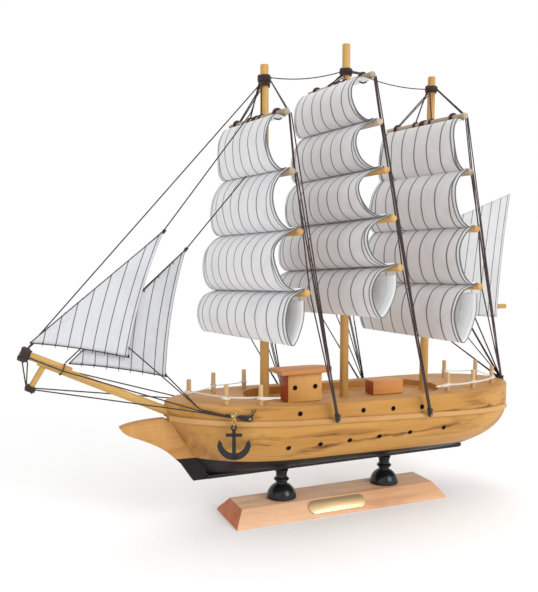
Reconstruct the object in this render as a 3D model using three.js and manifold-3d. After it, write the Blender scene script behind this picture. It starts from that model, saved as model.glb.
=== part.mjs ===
// A wooden model of a three-masted sailing ship on a display stand.
// Millimetres, +Z up, +X towards the stern, -Y to port. The origin is the centre of the stand's underside.
import * as THREE from "three";
import { mergeVertices } from "three/addons/utils/BufferGeometryUtils.js";
import Module from "manifold-3d";

const wasm = await Module();
wasm.setup();

// ---------------------------------------------------------------- driving dimensions

const GAP = 0.3; // clearance between pieces that are glued or tied together
const SIDES = [
  { name: "port", sign: -1 },
  { name: "starboard", sign: 1 },
];

// display stand
const STAND_LENGTH = 149;
const STAND_WIDTH = 38;
const STAND_TOP_LENGTH = 137;
const STAND_TOP_WIDTH = 22.5;
const STAND_HEIGHT = 9.6;
const STAND_EDGE = 1.2; // upright edge below the sloping sides
const PILLAR_SPACING = 75.4;
const PILLAR_DOME_RADIUS = 9.4;
const PILLAR_NECK_RADIUS = 3.5;
const PILLAR_RING_RADIUS = 4.9;
const PILLAR_TOP_RADIUS = 4.3;
const PLATE_LENGTH = 40;
const PLATE_HEIGHT = 8.6;
const PLATE_THICKNESS = 0.8;
const PLATE_X = -6;

// hull
const KEEL_UNDERSIDE_Z = 28;
const KEEL_HEIGHT = 2.3;
const KEEL_HALF_WIDTH = 3;
const KEEL_START_X = -88;
const KEEL_END_X = 99;
const HULL_BOTTOM_Z = KEEL_UNDERSIDE_Z + KEEL_HEIGHT + GAP;
const BOW_X = -113;
const STERN_X = 132;
const BOW_RAKE = 25; // how far the foot of the bow lies aft of its head
const STERN_OVERHANG = 37; // how far the stern's head lies aft of its foot
const HALF_BEAM = 36;
const BOTTOM_HALF_WIDTH = 5;
const WIDEST_Z = 62;
const FORE_SHOULDER_X = -30; // the sides are parallel between the shoulders
const AFT_SHOULDER_X = 60;
const DECK_Z = 74.2;
const SHEER_RISE = 3.4; // rise of the deck edge from amidships to the bow
const HULL_STATIONS = 26;
const HULL_LEVELS = [0, 0.1, 0.22, 0.36, 0.52, 0.7, 0.86, 1];
const WELL_FRONT_X = -62;
const WELL_BACK_X = 75;
const WELL_HALF_WIDTH = 26;
const WELL_FLOOR_Z = 70.5;

// portholes drilled in the hull and the deckhouse
const PORTHOLE_RADIUS = 1.35;
const PORTHOLE_DEPTH = 1.6;
const LOWER_PORTHOLES = { count: 6, firstX: -47.5, pitch: 21.6, z: 51.2 };
const UPPER_PORTHOLES = { count: 5, firstX: -41.5, pitch: 21, aboveRail: 5.2 };

// rub rail
const RAIL_Z_AMIDSHIPS = 64.2;
const RAIL_SLOPE = -0.036;
const RAIL_THICKNESS = 1.5;
const RAIL_HEIGHT = 3.2;
const RAIL_START_X = -110.4;
const RAIL_END_X = 118;

// stem board with its beak
const BOARD_THICKNESS = 6;
const BEAK_TIP = [-139.5, 64.6];
const FOREFOOT = [-95.8, KEEL_UNDERSIDE_Z];

// spars
const MAST_RADIUS = 2.85;
const MAST_TOP_RADIUS = 2.5;
const MAST_SOCKET_DEPTH = 9;
const YARD_RADIUS = 1.9;
const YARD_CLEARANCE = 0.45; // between a yard and its mast
const SAIL_INSET = 1.8; // bare length of yard outside the sail
const SAIL_THICKNESS = 0.8;
const BOWSPRIT_TIP = [-192.5, 110.1];
const BOWSPRIT_HEEL = [-101, 67];
const BOWSPRIT_RADIUS = 2.9;
const BOWSPRIT_TIP_RADIUS = 2.5;
const STRIKER_TOP_X = -179.5;
const STRIKER_FOOT = [-188.6, 88.8];
const STRIKER_RADIUS = 1.6;
const BOOM_RADIUS = 1.7;
const BOOM_END_X = 137.4;
const BOOM_Z = 125.6;

// masts from the bow: foot and head, yards from the top, and how far each sail bellies forward,
// as [port edge, starboard edge]; the lowest sail is rolled
const MASTS = [
  {
    name: "fore", footX: -49.3, headX: -49.3, headZ: 277.6, lashingDrop: 8.6,
    topYardZ: 244, yardPitch: 34.7, yardHalf: [45.5, 53, 63, 72], tilt: [3.2, -2.8],
    belly: [[12.2, 8.6], [12.3, 10.8], [15.9, 13.8], [11.5, 17]], rollHeight: 27,
  },
  {
    name: "main", footX: 6.7, headX: 6.7, headZ: 295.7, lashingDrop: 17.5,
    topYardZ: 269.5, yardPitch: 29.2, yardHalf: [42, 50, 58, 66, 73], tilt: [3.2, -2.8],
    belly: [[14.5, 10.1], [16.3, 9], [19, 10], [18, 12], [16.5, 13.5]], rollHeight: 27,
  },
  {
    name: "mizzen", footX: 68.2, headX: 71.6, headZ: 281.2, lashingDrop: 8.4,
    topYardZ: 249.5, yardPitch: 35.8, yardHalf: [44, 51, 58.5, 63], tilt: [2.2, -1.8],
    belly: [[9, 6], [12.6, 9], [12.9, 10], [17, 12]], rollHeight: 33,
  },
];

// deck fittings
const HOUSE = { frontX: -36, backX: -12.5, halfWidth: 6.2, height: 17.5 };
const ROOF = { frontX: -41.8, squareBackX: -15.5, tipX: -3, halfWidth: 9.4, thickness: 2.6 };
const HOUSE_WINDOW_HEIGHT = 9.2;
const HOUSE_WINDOW_OFFSET = 7;
const HATCH = { frontX: 25.6, backX: 48.5, halfWidth: 5.4, height: 8.8 };
// rails of posts and rope, each running from port to starboard around one end of the ship
const RAILS = {
  fore_rail: [[-62.5, -26.5], [-82, -21.5], [-98, 0], [-76, 20.5], [-52.5, 28]],
  aft_rail: [[69, -26], [91, -24], [113.5, -15.5], [120, 10], [98, 17]],
};
const POST_RADIUS = 1.5;
const POST_DEPTH = 3; // in the deck
const POST_HEIGHT = 12;
const ROPE_RADIUS = 0.6;
const ROPE_ABOVE_DECK = 4.2;

// threads
const THREAD_RADIUS = 0.45;
const KNOT_RADIUS = 0.9;
const LASHING_WALL = 1.1;
const LASHING_HEIGHT = 5;
// nails that the threads are tied to; a knot's middle stands this far off the hull's side
const KNOT_OUTBOARD = 3.6;
const SHROUD_PIN_X = { fore: -18.6, main: 46.4 };
const BOW_PIN = { x: -71.2, z: 70.1, outboard: 1.6 };
const BOW_LEAD = [[-96.5, 74.2], [-84, 72.1]]; // where the bow's threads turn and follow the side
const STERN_PIN_Z = 72.2;
const STAY_SAG = 3.5; // of the slack stays between the mastheads
const STAY_FROM_LASHING = 1.2;
const STAY_FROM_JIB = SAIL_THICKNESS / 2 + GAP + THREAD_RADIUS;

// sails set fore and aft: corner points in the ship's centre plane, as [x, z]
const OUTER_JIB = { tack: [-187.6, 115.6], head: [-112.6, 177], clew: [-134.3, 104.6], y: -1.8 };
const INNER_JIB = { tack: [-167, 102.6], head: [-98.8, 166.6], clew: [-111.8, 91.6], y: 1 };
const SPANKER = { throat: [73.6, 181.5], peak: [137.2, 205.6], clew: [127.6, 118.4], tack: [73.6, 122.2], y: -2.8 };

// anchors, hung by a short chain from a nail in the bow
const ANCHOR_X = -79.5;
const ANCHOR_NAIL_Z = 73.3;
const ANCHOR_HEIGHT = 20;
const ANCHOR_HALF_WIDTH = 9.6;
const ANCHOR_THICKNESS = 1.8;
const ANCHOR_OFFSET = 4.8; // anchor's middle plane from the hull's side
const ANCHOR_EYE_RADIUS = 1.7;
const ANCHOR_EYE_HOLE = 0.95;
const NAIL_RADIUS = 0.5;
const NAIL_DEPTH = 4;
const LINK_WIRE = 0.33;
const LINK_BITE = 0.12; // how far the wires of neighbouring links run into each other
const CHAIN_LINKS = [1.5, 1, 1, 1.5];

// ---------------------------------------------------------------- solids

const v3 = (x, y, z) => new THREE.Vector3(x, y, z);
const UP = v3(0, 0, 1);

const toSolid = (geometry) => {
  const bare = geometry.clone();
  bare.deleteAttribute("normal");
  bare.deleteAttribute("uv");
  const merged = mergeVertices(bare, 1e-5);
  return new wasm.Manifold(new wasm.Mesh({
    numProp: 3,
    vertProperties: new Float32Array(merged.attributes.position.array),
    triVerts: new Uint32Array(merged.index.array),
  }));
};

const toGeometry = (solid) => {
  const mesh = solid.getMesh();
  const geometry = new THREE.BufferGeometry();
  geometry.setAttribute("position", new THREE.BufferAttribute(new Float32Array(mesh.vertProperties), 3));
  geometry.setIndex(new THREE.BufferAttribute(new Uint32Array(mesh.triVerts), 1));
  geometry.computeVertexNormals();
  return geometry;
};

const join = (geometries) => toGeometry(geometries.map(toSolid).reduce((sum, solid) => sum.add(solid)));

const cut = (geometry, tools) => toGeometry(
  tools.map(toSolid).reduce((rest, tool) => rest.subtract(tool), toSolid(geometry)),
);

// a closed body through rings of equal length, with flat fans at both ends
const loft = (rings) => {
  const count = rings[0].length;
  const indices = [];
  for (let r = 0; r + 1 < rings.length; r += 1) {
    for (let i = 0; i < count; i += 1) {
      const a = r * count + i;
      const b = r * count + ((i + 1) % count);
      indices.push(a, b, b + count, a, b + count, a + count);
    }
  }
  const last = (rings.length - 1) * count;
  for (let i = 1; i + 1 < count; i += 1) {
    indices.push(0, i + 1, i, last, last + i, last + i + 1);
  }
  return outward(rings.flat(), indices);
};

// builds a geometry and turns its faces outwards
const outward = (points, indices) => {
  let volume = 0;
  for (let i = 0; i < indices.length; i += 3) {
    const [a, b, c] = indices.slice(i, i + 3).map((index) => points[index]);
    volume += a.dot(b.clone().cross(c));
  }
  if (volume < 0) {
    indices.reverse();
  }
  const geometry = new THREE.BufferGeometry();
  geometry.setAttribute("position", new THREE.Float32BufferAttribute(points.flatMap((p) => p.toArray()), 3));
  geometry.setIndex(indices);
  geometry.computeVertexNormals();
  return geometry;
};

// a round bar from one point to another
const rod = (from, to, radius, endRadius = radius, sides = 8) => {
  const length = from.distanceTo(to);
  const geometry = new THREE.CylinderGeometry(endRadius, radius, length, sides);
  const turn = new THREE.Quaternion().setFromUnitVectors(
    new THREE.Vector3(0, 1, 0),
    to.clone().sub(from).normalize(),
  );
  geometry.applyQuaternion(turn);
  const middle = from.clone().add(to).multiplyScalar(0.5);
  geometry.translate(middle.x, middle.y, middle.z);
  return geometry;
};

const knot = (point, radius = KNOT_RADIUS) => {
  const geometry = new THREE.SphereGeometry(radius, 8, 6);
  geometry.translate(point.x, point.y, point.z);
  return geometry;
};

// a thread held at both ends, straight between the points that it turns at, with mitred corners
const thread = (points, radius = THREAD_RADIUS) => {
  const directions = points.slice(1).map((point, i) => point.clone().sub(points[i]).normalize());
  const aside = directions[0].clone().cross(Math.abs(directions[0].z) > 0.9 ? v3(1, 0, 0) : UP).normalize();
  let ring = Array.from({ length: 8 }, (_, i) => (
    aside.clone().applyAxisAngle(directions[0], (Math.PI * i) / 4).multiplyScalar(radius).add(points[0])
  ));
  const rings = [ring];
  directions.forEach((direction, i) => {
    const corner = points[i + 1];
    const facing = direction.clone().add(directions[i + 1] ?? direction).normalize();
    ring = ring.map((p) => (
      p.clone().addScaledVector(direction, corner.clone().sub(p).dot(facing) / direction.dot(facing))
    ));
    rings.push(ring);
  });
  return loft(rings);
};

// a thread that sags between its two ends
const slackThread = (from, to, sag) => {
  const control = from.clone().add(to).multiplyScalar(0.5);
  control.z -= 2 * sag;
  const section = new THREE.Shape();
  section.absarc(0, 0, THREAD_RADIUS, 0, 2 * Math.PI);
  return new THREE.ExtrudeGeometry(section, {
    curveSegments: 4,
    steps: 8,
    bevelEnabled: false,
    extrudePath: new THREE.QuadraticBezierCurve3(from, control, to),
  });
};

// a plate in the ship's centre plane, from an outline drawn as [x, z]
const plate = (shape, thickness, y) => {
  const geometry = new THREE.ExtrudeGeometry(shape, { depth: thickness, bevelEnabled: false, curveSegments: 6 });
  geometry.rotateX(Math.PI / 2);
  geometry.translate(0, y + thickness / 2, 0);
  return geometry;
};

// a band of wound thread around a spar
const lashing = (middle, direction, innerRadius, height) => {
  const half = height / 2;
  const outer = innerRadius + LASHING_WALL;
  const profile = [
    [innerRadius, -half],
    [outer, -half * 0.8],
    [outer + 0.3, 0],
    [outer, half * 0.8],
    [innerRadius, half],
    [innerRadius, -half],
  ].map(([r, z]) => new THREE.Vector2(r, z));
  const geometry = new THREE.LatheGeometry(profile, 12);
  geometry.applyQuaternion(new THREE.Quaternion().setFromUnitVectors(new THREE.Vector3(0, 1, 0), direction));
  geometry.translate(middle.x, middle.y, middle.z);
  return geometry;
};

const ship = new THREE.Group();

const MATERIALS = {
  pine: { color: 0xd9a25c, roughness: 0.5, metalness: 0 },
  stand_wood: { color: 0xd99a6c, roughness: 0.55, metalness: 0 },
  cabin_wood: { color: 0xd98a4a, roughness: 0.5, metalness: 0 },
  spar_wood: { color: 0xd8ad62, roughness: 0.55, metalness: 0 },
  black_paint: { color: 0x1b1a1c, roughness: 0.25, metalness: 0 },
  cloth: { color: 0xeceaea, roughness: 0.9, metalness: 0 },
  thread: { color: 0x2a1c1a, roughness: 0.9, metalness: 0 },
  rope: { color: 0xe6dcc8, roughness: 0.9, metalness: 0 },
  brass: { color: 0xd8c078, roughness: 0.35, metalness: 1 },
  iron: { color: 0x303033, roughness: 0.6, metalness: 0.3 },
};

const piece = (name, geometry, finish, parent = ship) => {
  const mesh = new THREE.Mesh(geometry, new THREE.MeshStandardMaterial(MATERIALS[finish]));
  mesh.name = name;
  parent.add(mesh);
  return mesh;
};

// ---------------------------------------------------------------- stand

const buildStand = () => {
  const corners = (length, width, z) => [
    v3(-length / 2, -width / 2, z),
    v3(length / 2, -width / 2, z),
    v3(length / 2, width / 2, z),
    v3(-length / 2, width / 2, z),
  ];
  piece("stand_base", loft([
    corners(STAND_LENGTH, STAND_WIDTH, 0),
    corners(STAND_LENGTH, STAND_WIDTH, STAND_EDGE),
    corners(STAND_TOP_LENGTH, STAND_TOP_WIDTH, STAND_HEIGHT),
  ]), "stand_wood");

  const bottom = STAND_HEIGHT + GAP;
  const top = KEEL_UNDERSIDE_Z - GAP;
  const domeTop = bottom + PILLAR_DOME_RADIUS * Math.cos(Math.asin(PILLAR_NECK_RADIUS / PILLAR_DOME_RADIUS));
  const neck = top - domeTop;
  const dome = [0, 15, 30, 45, 58].map((degrees) => {
    const angle = THREE.MathUtils.degToRad(degrees);
    return [PILLAR_DOME_RADIUS * Math.cos(angle), bottom + PILLAR_DOME_RADIUS * Math.sin(angle)];
  });
  const profile = [
    [0, bottom],
    ...dome,
    [PILLAR_NECK_RADIUS, domeTop],
    [PILLAR_NECK_RADIUS, domeTop + 0.12 * neck],
    [PILLAR_RING_RADIUS, domeTop + 0.24 * neck],
    [PILLAR_RING_RADIUS, domeTop + 0.36 * neck],
    [PILLAR_NECK_RADIUS, domeTop + 0.5 * neck],
    [PILLAR_NECK_RADIUS, domeTop + 0.75 * neck],
    [PILLAR_TOP_RADIUS, top],
    [0, top],
  ].map(([r, z]) => new THREE.Vector2(r, z));
  ["pillar_fore", "pillar_aft"].forEach((name, index) => {
    const geometry = new THREE.LatheGeometry(profile, 20);
    geometry.rotateX(Math.PI / 2);
    piece(name, geometry, "black_paint").position.x = (index - 0.5) * PILLAR_SPACING;
  });

  // the name plate lies on the port slope
  const slopeRun = (STAND_WIDTH - STAND_TOP_WIDTH) / 2;
  const slopeRise = STAND_HEIGHT - STAND_EDGE;
  const lean = Math.atan2(slopeRise, slopeRun);
  const outline = new THREE.Shape();
  const radius = PLATE_HEIGHT / 2;
  const straight = PLATE_LENGTH / 2 - radius;
  outline.absarc(straight, 0, radius, -Math.PI / 2, Math.PI / 2);
  outline.absarc(-straight, 0, radius, Math.PI / 2, 1.5 * Math.PI);
  const geometry = new THREE.ExtrudeGeometry(outline, {
    depth: PLATE_THICKNESS,
    bevelEnabled: false,
    curveSegments: 8,
  });
  geometry.translate(0, 0, GAP);
  const plateMesh = piece("name_plate", geometry, "brass");
  plateMesh.position.set(
    PLATE_X,
    -(STAND_WIDTH - slopeRun) / 2,
    STAND_EDGE + slopeRise / 2,
  );
  plateMesh.rotation.x = lean;
};

// ---------------------------------------------------------------- hull

const sheerZ = (x) => {
  const forward = Math.max(0, AFT_SHOULDER_X - x) / (AFT_SHOULDER_X - BOW_X);
  return DECK_Z + SHEER_RISE * forward * forward;
};

const bowX = (z) => {
  const drop = THREE.MathUtils.clamp((67.6 - z) / (67.6 - HULL_BOTTOM_Z), 0, 1);
  return BOW_X + BOW_RAKE * drop ** 1.2;
};

const sternX = (z) => {
  const drop = THREE.MathUtils.clamp((68 - z) / (68 - HULL_BOTTOM_Z), 0, 1);
  return STERN_X - STERN_OVERHANG * drop ** 3.3;
};

const beamAt = (z) => {
  const drop = THREE.MathUtils.clamp((WIDEST_Z - z) / (WIDEST_Z - HULL_BOTTOM_Z), 0, 1);
  return BOTTOM_HALF_WIDTH + (HALF_BEAM - BOTTOM_HALF_WIDTH) * (1 - drop ** 2.2) ** 0.77;
};

// half the hull's width at a station and a height
const halfBreadth = (x, z) => {
  if (x < FORE_SHOULDER_X) {
    const t = Math.min(1, (FORE_SHOULDER_X - x) / (FORE_SHOULDER_X - bowX(z)));
    return beamAt(z) * (1 - t ** 2.5) ** 0.75;
  }
  if (x > AFT_SHOULDER_X) {
    const t = Math.min(1, (x - AFT_SHOULDER_X) / (sternX(z) - AFT_SHOULDER_X));
    return beamAt(z) * (1 - t ** 2.6) ** 0.5;
  }
  return beamAt(z);
};

// how far along the hull each station lies, closer together towards both ends
const stationShares = Array.from({ length: HULL_STATIONS + 1 }, (_, i) => (
  (1 - Math.cos((Math.PI * i) / HULL_STATIONS)) / 2
));

// the hull's level outline: bow point, port side, stern point, starboard side
const levelOutline = (share) => {
  const z = HULL_BOTTOM_Z + share * (DECK_Z - HULL_BOTTOM_Z);
  const bow = bowX(z);
  const stern = sternX(z);
  const points = stationShares.map((station) => {
    const x = bow + (stern - bow) * station;
    return v3(x, halfBreadth(x, z), HULL_BOTTOM_Z + share * (sheerZ(x) - HULL_BOTTOM_Z));
  });
  const port = points.map((p) => v3(p.x, -p.y, p.z));
  return [...port, ...points.slice(1, -1).reverse()];
};

const hullBlock = () => {
  const rings = HULL_LEVELS.map(levelOutline);
  const count = rings[0].length;
  const indices = [];
  for (let r = 0; r + 1 < rings.length; r += 1) {
    for (let i = 0; i < count; i += 1) {
      const a = r * count + i;
      const b = r * count + ((i + 1) % count);
      indices.push(a, b, b + count, a, b + count, a + count);
    }
  }
  // both flat ends run across the ship from port to starboard
  const cap = (base, flip) => {
    const opposite = (i) => base + ((count - i) % count);
    for (let i = 0; i < HULL_STATIONS; i += 1) {
      const quad = [[base + i, base + i + 1, opposite(i + 1)], [base + i, opposite(i + 1), opposite(i)]];
      quad.filter((t) => new Set(t).size === 3).forEach(([a, b, c]) => {
        indices.push(...(flip ? [a, b, c] : [a, c, b]));
      });
    }
  };
  cap(0, false);
  cap((rings.length - 1) * count, true);
  return outward(rings.flat(), indices);
};

const railZ = (x) => RAIL_Z_AMIDSHIPS + RAIL_SLOPE * x;

// unit vector pointing straight out of the hull's side in plan
const sideNormal = (x, z, sign) => {
  const step = 0.5;
  const slope = (halfBreadth(x + step, z) - halfBreadth(x - step, z)) / (2 * step);
  return v3(-slope, 1, 0).normalize().multiply(v3(1, sign, 1));
};

const onSide = (x, z, sign, outboard) => (
  v3(x, sign * halfBreadth(x, z), z).add(sideNormal(x, z, sign).multiplyScalar(outboard))
);

const drillFromSide = (x, z, sign, surfaceY) => rod(
  v3(x, sign * (surfaceY - PORTHOLE_DEPTH), z),
  v3(x, sign * (surfaceY + 4), z),
  PORTHOLE_RADIUS,
  PORTHOLE_RADIUS,
  10,
);

const portholes = () => SIDES.flatMap(({ sign }) => {
  const lower = Array.from({ length: LOWER_PORTHOLES.count }, (_, i) => {
    const x = LOWER_PORTHOLES.firstX + i * LOWER_PORTHOLES.pitch;
    return drillFromSide(x, LOWER_PORTHOLES.z, sign, halfBreadth(x, LOWER_PORTHOLES.z));
  });
  const upper = Array.from({ length: UPPER_PORTHOLES.count }, (_, i) => {
    const x = UPPER_PORTHOLES.firstX + i * UPPER_PORTHOLES.pitch;
    const z = railZ(x) + UPPER_PORTHOLES.aboveRail;
    return drillFromSide(x, z, sign, halfBreadth(x, z));
  });
  return [...lower, ...upper];
});

const deckWell = () => {
  const outline = new THREE.Shape();
  outline.absarc(WELL_BACK_X - WELL_HALF_WIDTH, 0, WELL_HALF_WIDTH, -Math.PI / 2, Math.PI / 2);
  outline.absarc(WELL_FRONT_X + WELL_HALF_WIDTH, 0, WELL_HALF_WIDTH, Math.PI / 2, 1.5 * Math.PI);
  const geometry = new THREE.ExtrudeGeometry(outline, { depth: 20, bevelEnabled: false, curveSegments: 12 });
  geometry.translate(0, 0, WELL_FLOOR_Z);
  return geometry;
};

const mastX = (mast, z) => {
  const share = (z - WELL_FLOOR_Z) / (mast.headZ - WELL_FLOOR_Z);
  return mast.footX + (mast.headX - mast.footX) * share;
};

const mastPoint = (mast, z) => v3(mastX(mast, z), 0, z);

// the board's outline, grown by a clearance where it makes its own slot
const boardOutline = (clearance) => {
  const outline = new THREE.Shape();
  const heelX = BOW_X + 9 + clearance;
  outline.moveTo(BEAK_TIP[0], BEAK_TIP[1]);
  outline.quadraticCurveTo(-139.4, 62, -132.9, 58.1);
  outline.bezierCurveTo(-124, 54.6, -116, 50.5, -111.3, 46.4);
  outline.lineTo(-103.4, 38.8);
  outline.lineTo(FOREFOOT[0] - 0.4, FOREFOOT[1]);
  outline.lineTo(KEEL_START_X - GAP + clearance, KEEL_UNDERSIDE_Z);
  outline.lineTo(KEEL_START_X - GAP + clearance, HULL_BOTTOM_Z + 5 + clearance);
  outline.lineTo(heelX, 60.5);
  outline.lineTo(heelX, 63 + clearance);
  outline.lineTo(BOW_X - 1, 67.4);
  outline.lineTo(-134.5, 66.6);
  outline.closePath();
  return outline;
};

const bowspritPoint = (share) => v3(
  BOWSPRIT_HEEL[0] + (BOWSPRIT_TIP[0] - BOWSPRIT_HEEL[0]) * share,
  0,
  BOWSPRIT_HEEL[1] + (BOWSPRIT_TIP[1] - BOWSPRIT_HEEL[1]) * share,
);
const bowspritShareAt = (x) => (x - BOWSPRIT_HEEL[0]) / (BOWSPRIT_TIP[0] - BOWSPRIT_HEEL[0]);
const BOWSPRIT_DIRECTION = bowspritPoint(1).sub(bowspritPoint(0)).normalize();

// where threads are nailed to the hull: the knot's middle and the way in
const sidePin = (x, z, sign, outboard = KNOT_OUTBOARD) => ({
  point: onSide(x, z, sign, outboard),
  inward: sideNormal(x, z, sign).negate(),
  outboard,
});

const pinFor = (name, sign) => {
  if (name === "mizzen") {
    return { point: v3(STERN_X + KNOT_OUTBOARD, 0, STERN_PIN_Z), inward: v3(-1, 0, 0), outboard: KNOT_OUTBOARD };
  }
  if (name === "bow") {
    return sidePin(BOW_PIN.x, BOW_PIN.z, sign, BOW_PIN.outboard);
  }
  const x = SHROUD_PIN_X[name];
  return sidePin(x, railZ(x) + 0.6, sign);
};

const nail = ({ point, inward, outboard }, clearance = 0) => rod(
  point,
  point.clone().addScaledVector(inward, outboard + NAIL_DEPTH - GAP + clearance),
  NAIL_RADIUS + clearance,
);

const nailHoles = () => SIDES.flatMap(({ sign }) => [
  ...["bow", "fore", "main"].map((name) => nail(pinFor(name, sign), GAP)),
  nail(sidePin(ANCHOR_X, ANCHOR_NAIL_Z, sign), GAP),
]);

const buildHull = () => {
  const sockets = MASTS.map((mast) => rod(
    mastPoint(mast, WELL_FLOOR_Z - MAST_SOCKET_DEPTH - GAP),
    mastPoint(mast, WELL_FLOOR_Z + 2),
    MAST_RADIUS + GAP,
    MAST_RADIUS + GAP,
    16,
  ));
  const bowspritSocket = rod(
    bowspritPoint(0).sub(BOWSPRIT_DIRECTION.clone().multiplyScalar(GAP)),
    bowspritPoint(0.4),
    BOWSPRIT_RADIUS + GAP,
    BOWSPRIT_RADIUS + GAP,
    16,
  );
  const boardSlot = plate(boardOutline(GAP), BOARD_THICKNESS + 2 * GAP, 0);
  const postHoles = Object.values(RAILS).flat().map(([x, y]) => rod(
    v3(x, y, sheerZ(x) - POST_DEPTH - GAP),
    v3(x, y, sheerZ(x) + 2),
    POST_RADIUS + GAP,
    POST_RADIUS + GAP,
    10,
  ));
  piece("hull", cut(hullBlock(), [
    deckWell(),
    ...sockets,
    bowspritSocket,
    boardSlot,
    ...postHoles,
    ...nailHoles(),
    nail(pinFor("mizzen"), GAP),
    ...portholes(),
  ]), "pine");
  piece("stem_board", plate(boardOutline(0), BOARD_THICKNESS, 0), "pine");

  const keelOutline = new THREE.Shape();
  keelOutline.moveTo(KEEL_START_X, KEEL_UNDERSIDE_Z);
  keelOutline.lineTo(KEEL_END_X - 2.5, KEEL_UNDERSIDE_Z);
  keelOutline.quadraticCurveTo(KEEL_END_X, KEEL_UNDERSIDE_Z, KEEL_END_X, KEEL_UNDERSIDE_Z + KEEL_HEIGHT);
  keelOutline.lineTo(KEEL_START_X, KEEL_UNDERSIDE_Z + KEEL_HEIGHT);
  piece("keel_strip", plate(keelOutline, 2 * KEEL_HALF_WIDTH, 0), "black_paint");

  SIDES.forEach(({ name, sign }) => {
    const rings = stationShares
      .map((share) => BOW_X + (STERN_X - BOW_X) * share)
      .map((x) => THREE.MathUtils.clamp(x, RAIL_START_X, RAIL_END_X))
      .filter((x, i, all) => i === 0 || x > all[i - 1])
      .map((x) => {
        const z = railZ(x);
        return [[GAP, -1], [GAP + RAIL_THICKNESS, -1], [GAP + RAIL_THICKNESS, 1], [GAP, 1]].map(([out, up]) => {
          const point = onSide(x, z, sign, out);
          point.z += (up * RAIL_HEIGHT) / 2;
          return point;
        });
      });
    piece(`rub_rail_${name}`, cut(loft(rings), nailHoles()), "pine");
  });
};

// ---------------------------------------------------------------- deck fittings

const block = ({ frontX, backX, halfWidth }, bottomZ, height) => {
  const geometry = new THREE.BoxGeometry(backX - frontX, 2 * halfWidth, height);
  geometry.translate((frontX + backX) / 2, 0, bottomZ + height / 2);
  return geometry;
};

const HOUSE_BASE_Z = WELL_FLOOR_Z + GAP;
const ROOF_Z = HOUSE_BASE_Z + HOUSE.height + GAP;

const buildDeck = () => {
  const windowX = (HOUSE.frontX + HOUSE.backX) / 2;
  const windows = SIDES.flatMap(({ sign }) => [-1, 1].map((end) => drillFromSide(
    windowX + end * HOUSE_WINDOW_OFFSET,
    HOUSE_BASE_Z + HOUSE_WINDOW_HEIGHT,
    sign,
    HOUSE.halfWidth,
  )));
  piece("deckhouse", cut(block(HOUSE, HOUSE_BASE_Z, HOUSE.height), windows), "cabin_wood");

  const outline = new THREE.Shape();
  outline.moveTo(ROOF.frontX, -ROOF.halfWidth);
  outline.lineTo(ROOF.squareBackX, -ROOF.halfWidth);
  outline.bezierCurveTo(
    ROOF.squareBackX + 4, -ROOF.halfWidth,
    ROOF.tipX, -ROOF.halfWidth / 2,
    ROOF.tipX, 0,
  );
  outline.bezierCurveTo(
    ROOF.tipX, ROOF.halfWidth / 2,
    ROOF.squareBackX + 4, ROOF.halfWidth,
    ROOF.squareBackX, ROOF.halfWidth,
  );
  outline.lineTo(ROOF.frontX, ROOF.halfWidth);
  const roof = new THREE.ExtrudeGeometry(outline, { depth: ROOF.thickness, bevelEnabled: false, curveSegments: 6 });
  roof.translate(0, 0, ROOF_Z);
  piece("deckhouse_roof", roof, "cabin_wood");
  piece("hatch", block(HATCH, HOUSE_BASE_Z, HATCH.height), "cabin_wood");

  Object.entries(RAILS).forEach(([name, places]) => {
    const posts = places.map(([x, y]) => rod(
      v3(x, y, sheerZ(x) - POST_DEPTH),
      v3(x, y, sheerZ(x) + POST_HEIGHT),
      POST_RADIUS,
      POST_RADIUS * 0.9,
      10,
    ));
    const rope = places.slice(1).map(([x, y], i) => {
      const [fromX, fromY] = places[i];
      return rod(
        v3(fromX, fromY, sheerZ(fromX) + ROPE_ABOVE_DECK),
        v3(x, y, sheerZ(x) + ROPE_ABOVE_DECK),
        ROPE_RADIUS,
      );
    });
    piece(name, join([...posts, ...rope]), "spar_wood");
  });
};

// ---------------------------------------------------------------- masts, yards and square sails

const YARD_OFFSET = MAST_RADIUS + YARD_CLEARANCE + YARD_RADIUS;

// a closed sheet through [forward, up] points, which bellies out more towards one side by the skew
const sheet = (points, { height, topHalf, footHalf, skew, twist }) => {
  const curve = new THREE.SplineCurve(points.map(([forward, up]) => new THREE.Vector2(-forward, up)));
  const count = 4 * (points.length - 1);
  const face = (offset) => Array.from({ length: count + 1 }, (_, i) => {
    const tangent = curve.getTangent(i / count);
    const point = curve.getPoint(i / count);
    return new THREE.Vector2(point.x - tangent.y * offset, point.y + tangent.x * offset);
  });
  const outline = [...face(SAIL_THICKNESS / 2), ...face(-SAIL_THICKNESS / 2).reverse()];
  const geometry = new THREE.ExtrudeGeometry(new THREE.Shape(outline), { depth: 2, bevelEnabled: false });
  geometry.rotateX(Math.PI / 2);
  geometry.translate(0, 1, 0);
  const position = geometry.attributes.position;
  const start = points[0][0];
  for (let i = 0; i < position.count; i += 1) {
    const side = position.getY(i); // -1 at the port edge, 1 at the starboard edge
    const forward = -position.getX(i);
    const share = THREE.MathUtils.clamp(-position.getZ(i) / height, 0, 1);
    const y = side * (topHalf + (footHalf - topHalf) * share);
    if (forward > start) {
      position.setX(i, -start - (forward - start) * (1 - skew * side));
    }
    position.setY(i, y);
    position.setZ(i, position.getZ(i) + y * Math.tan(twist) * share);
  }
  return geometry;
};

const UNDER_YARD = [0.2, -YARD_RADIUS - SAIL_THICKNESS / 2 - GAP];
const AHEAD_OF_YARD = [YARD_RADIUS + SAIL_THICKNESS / 2 + GAP, 0.6];

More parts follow.
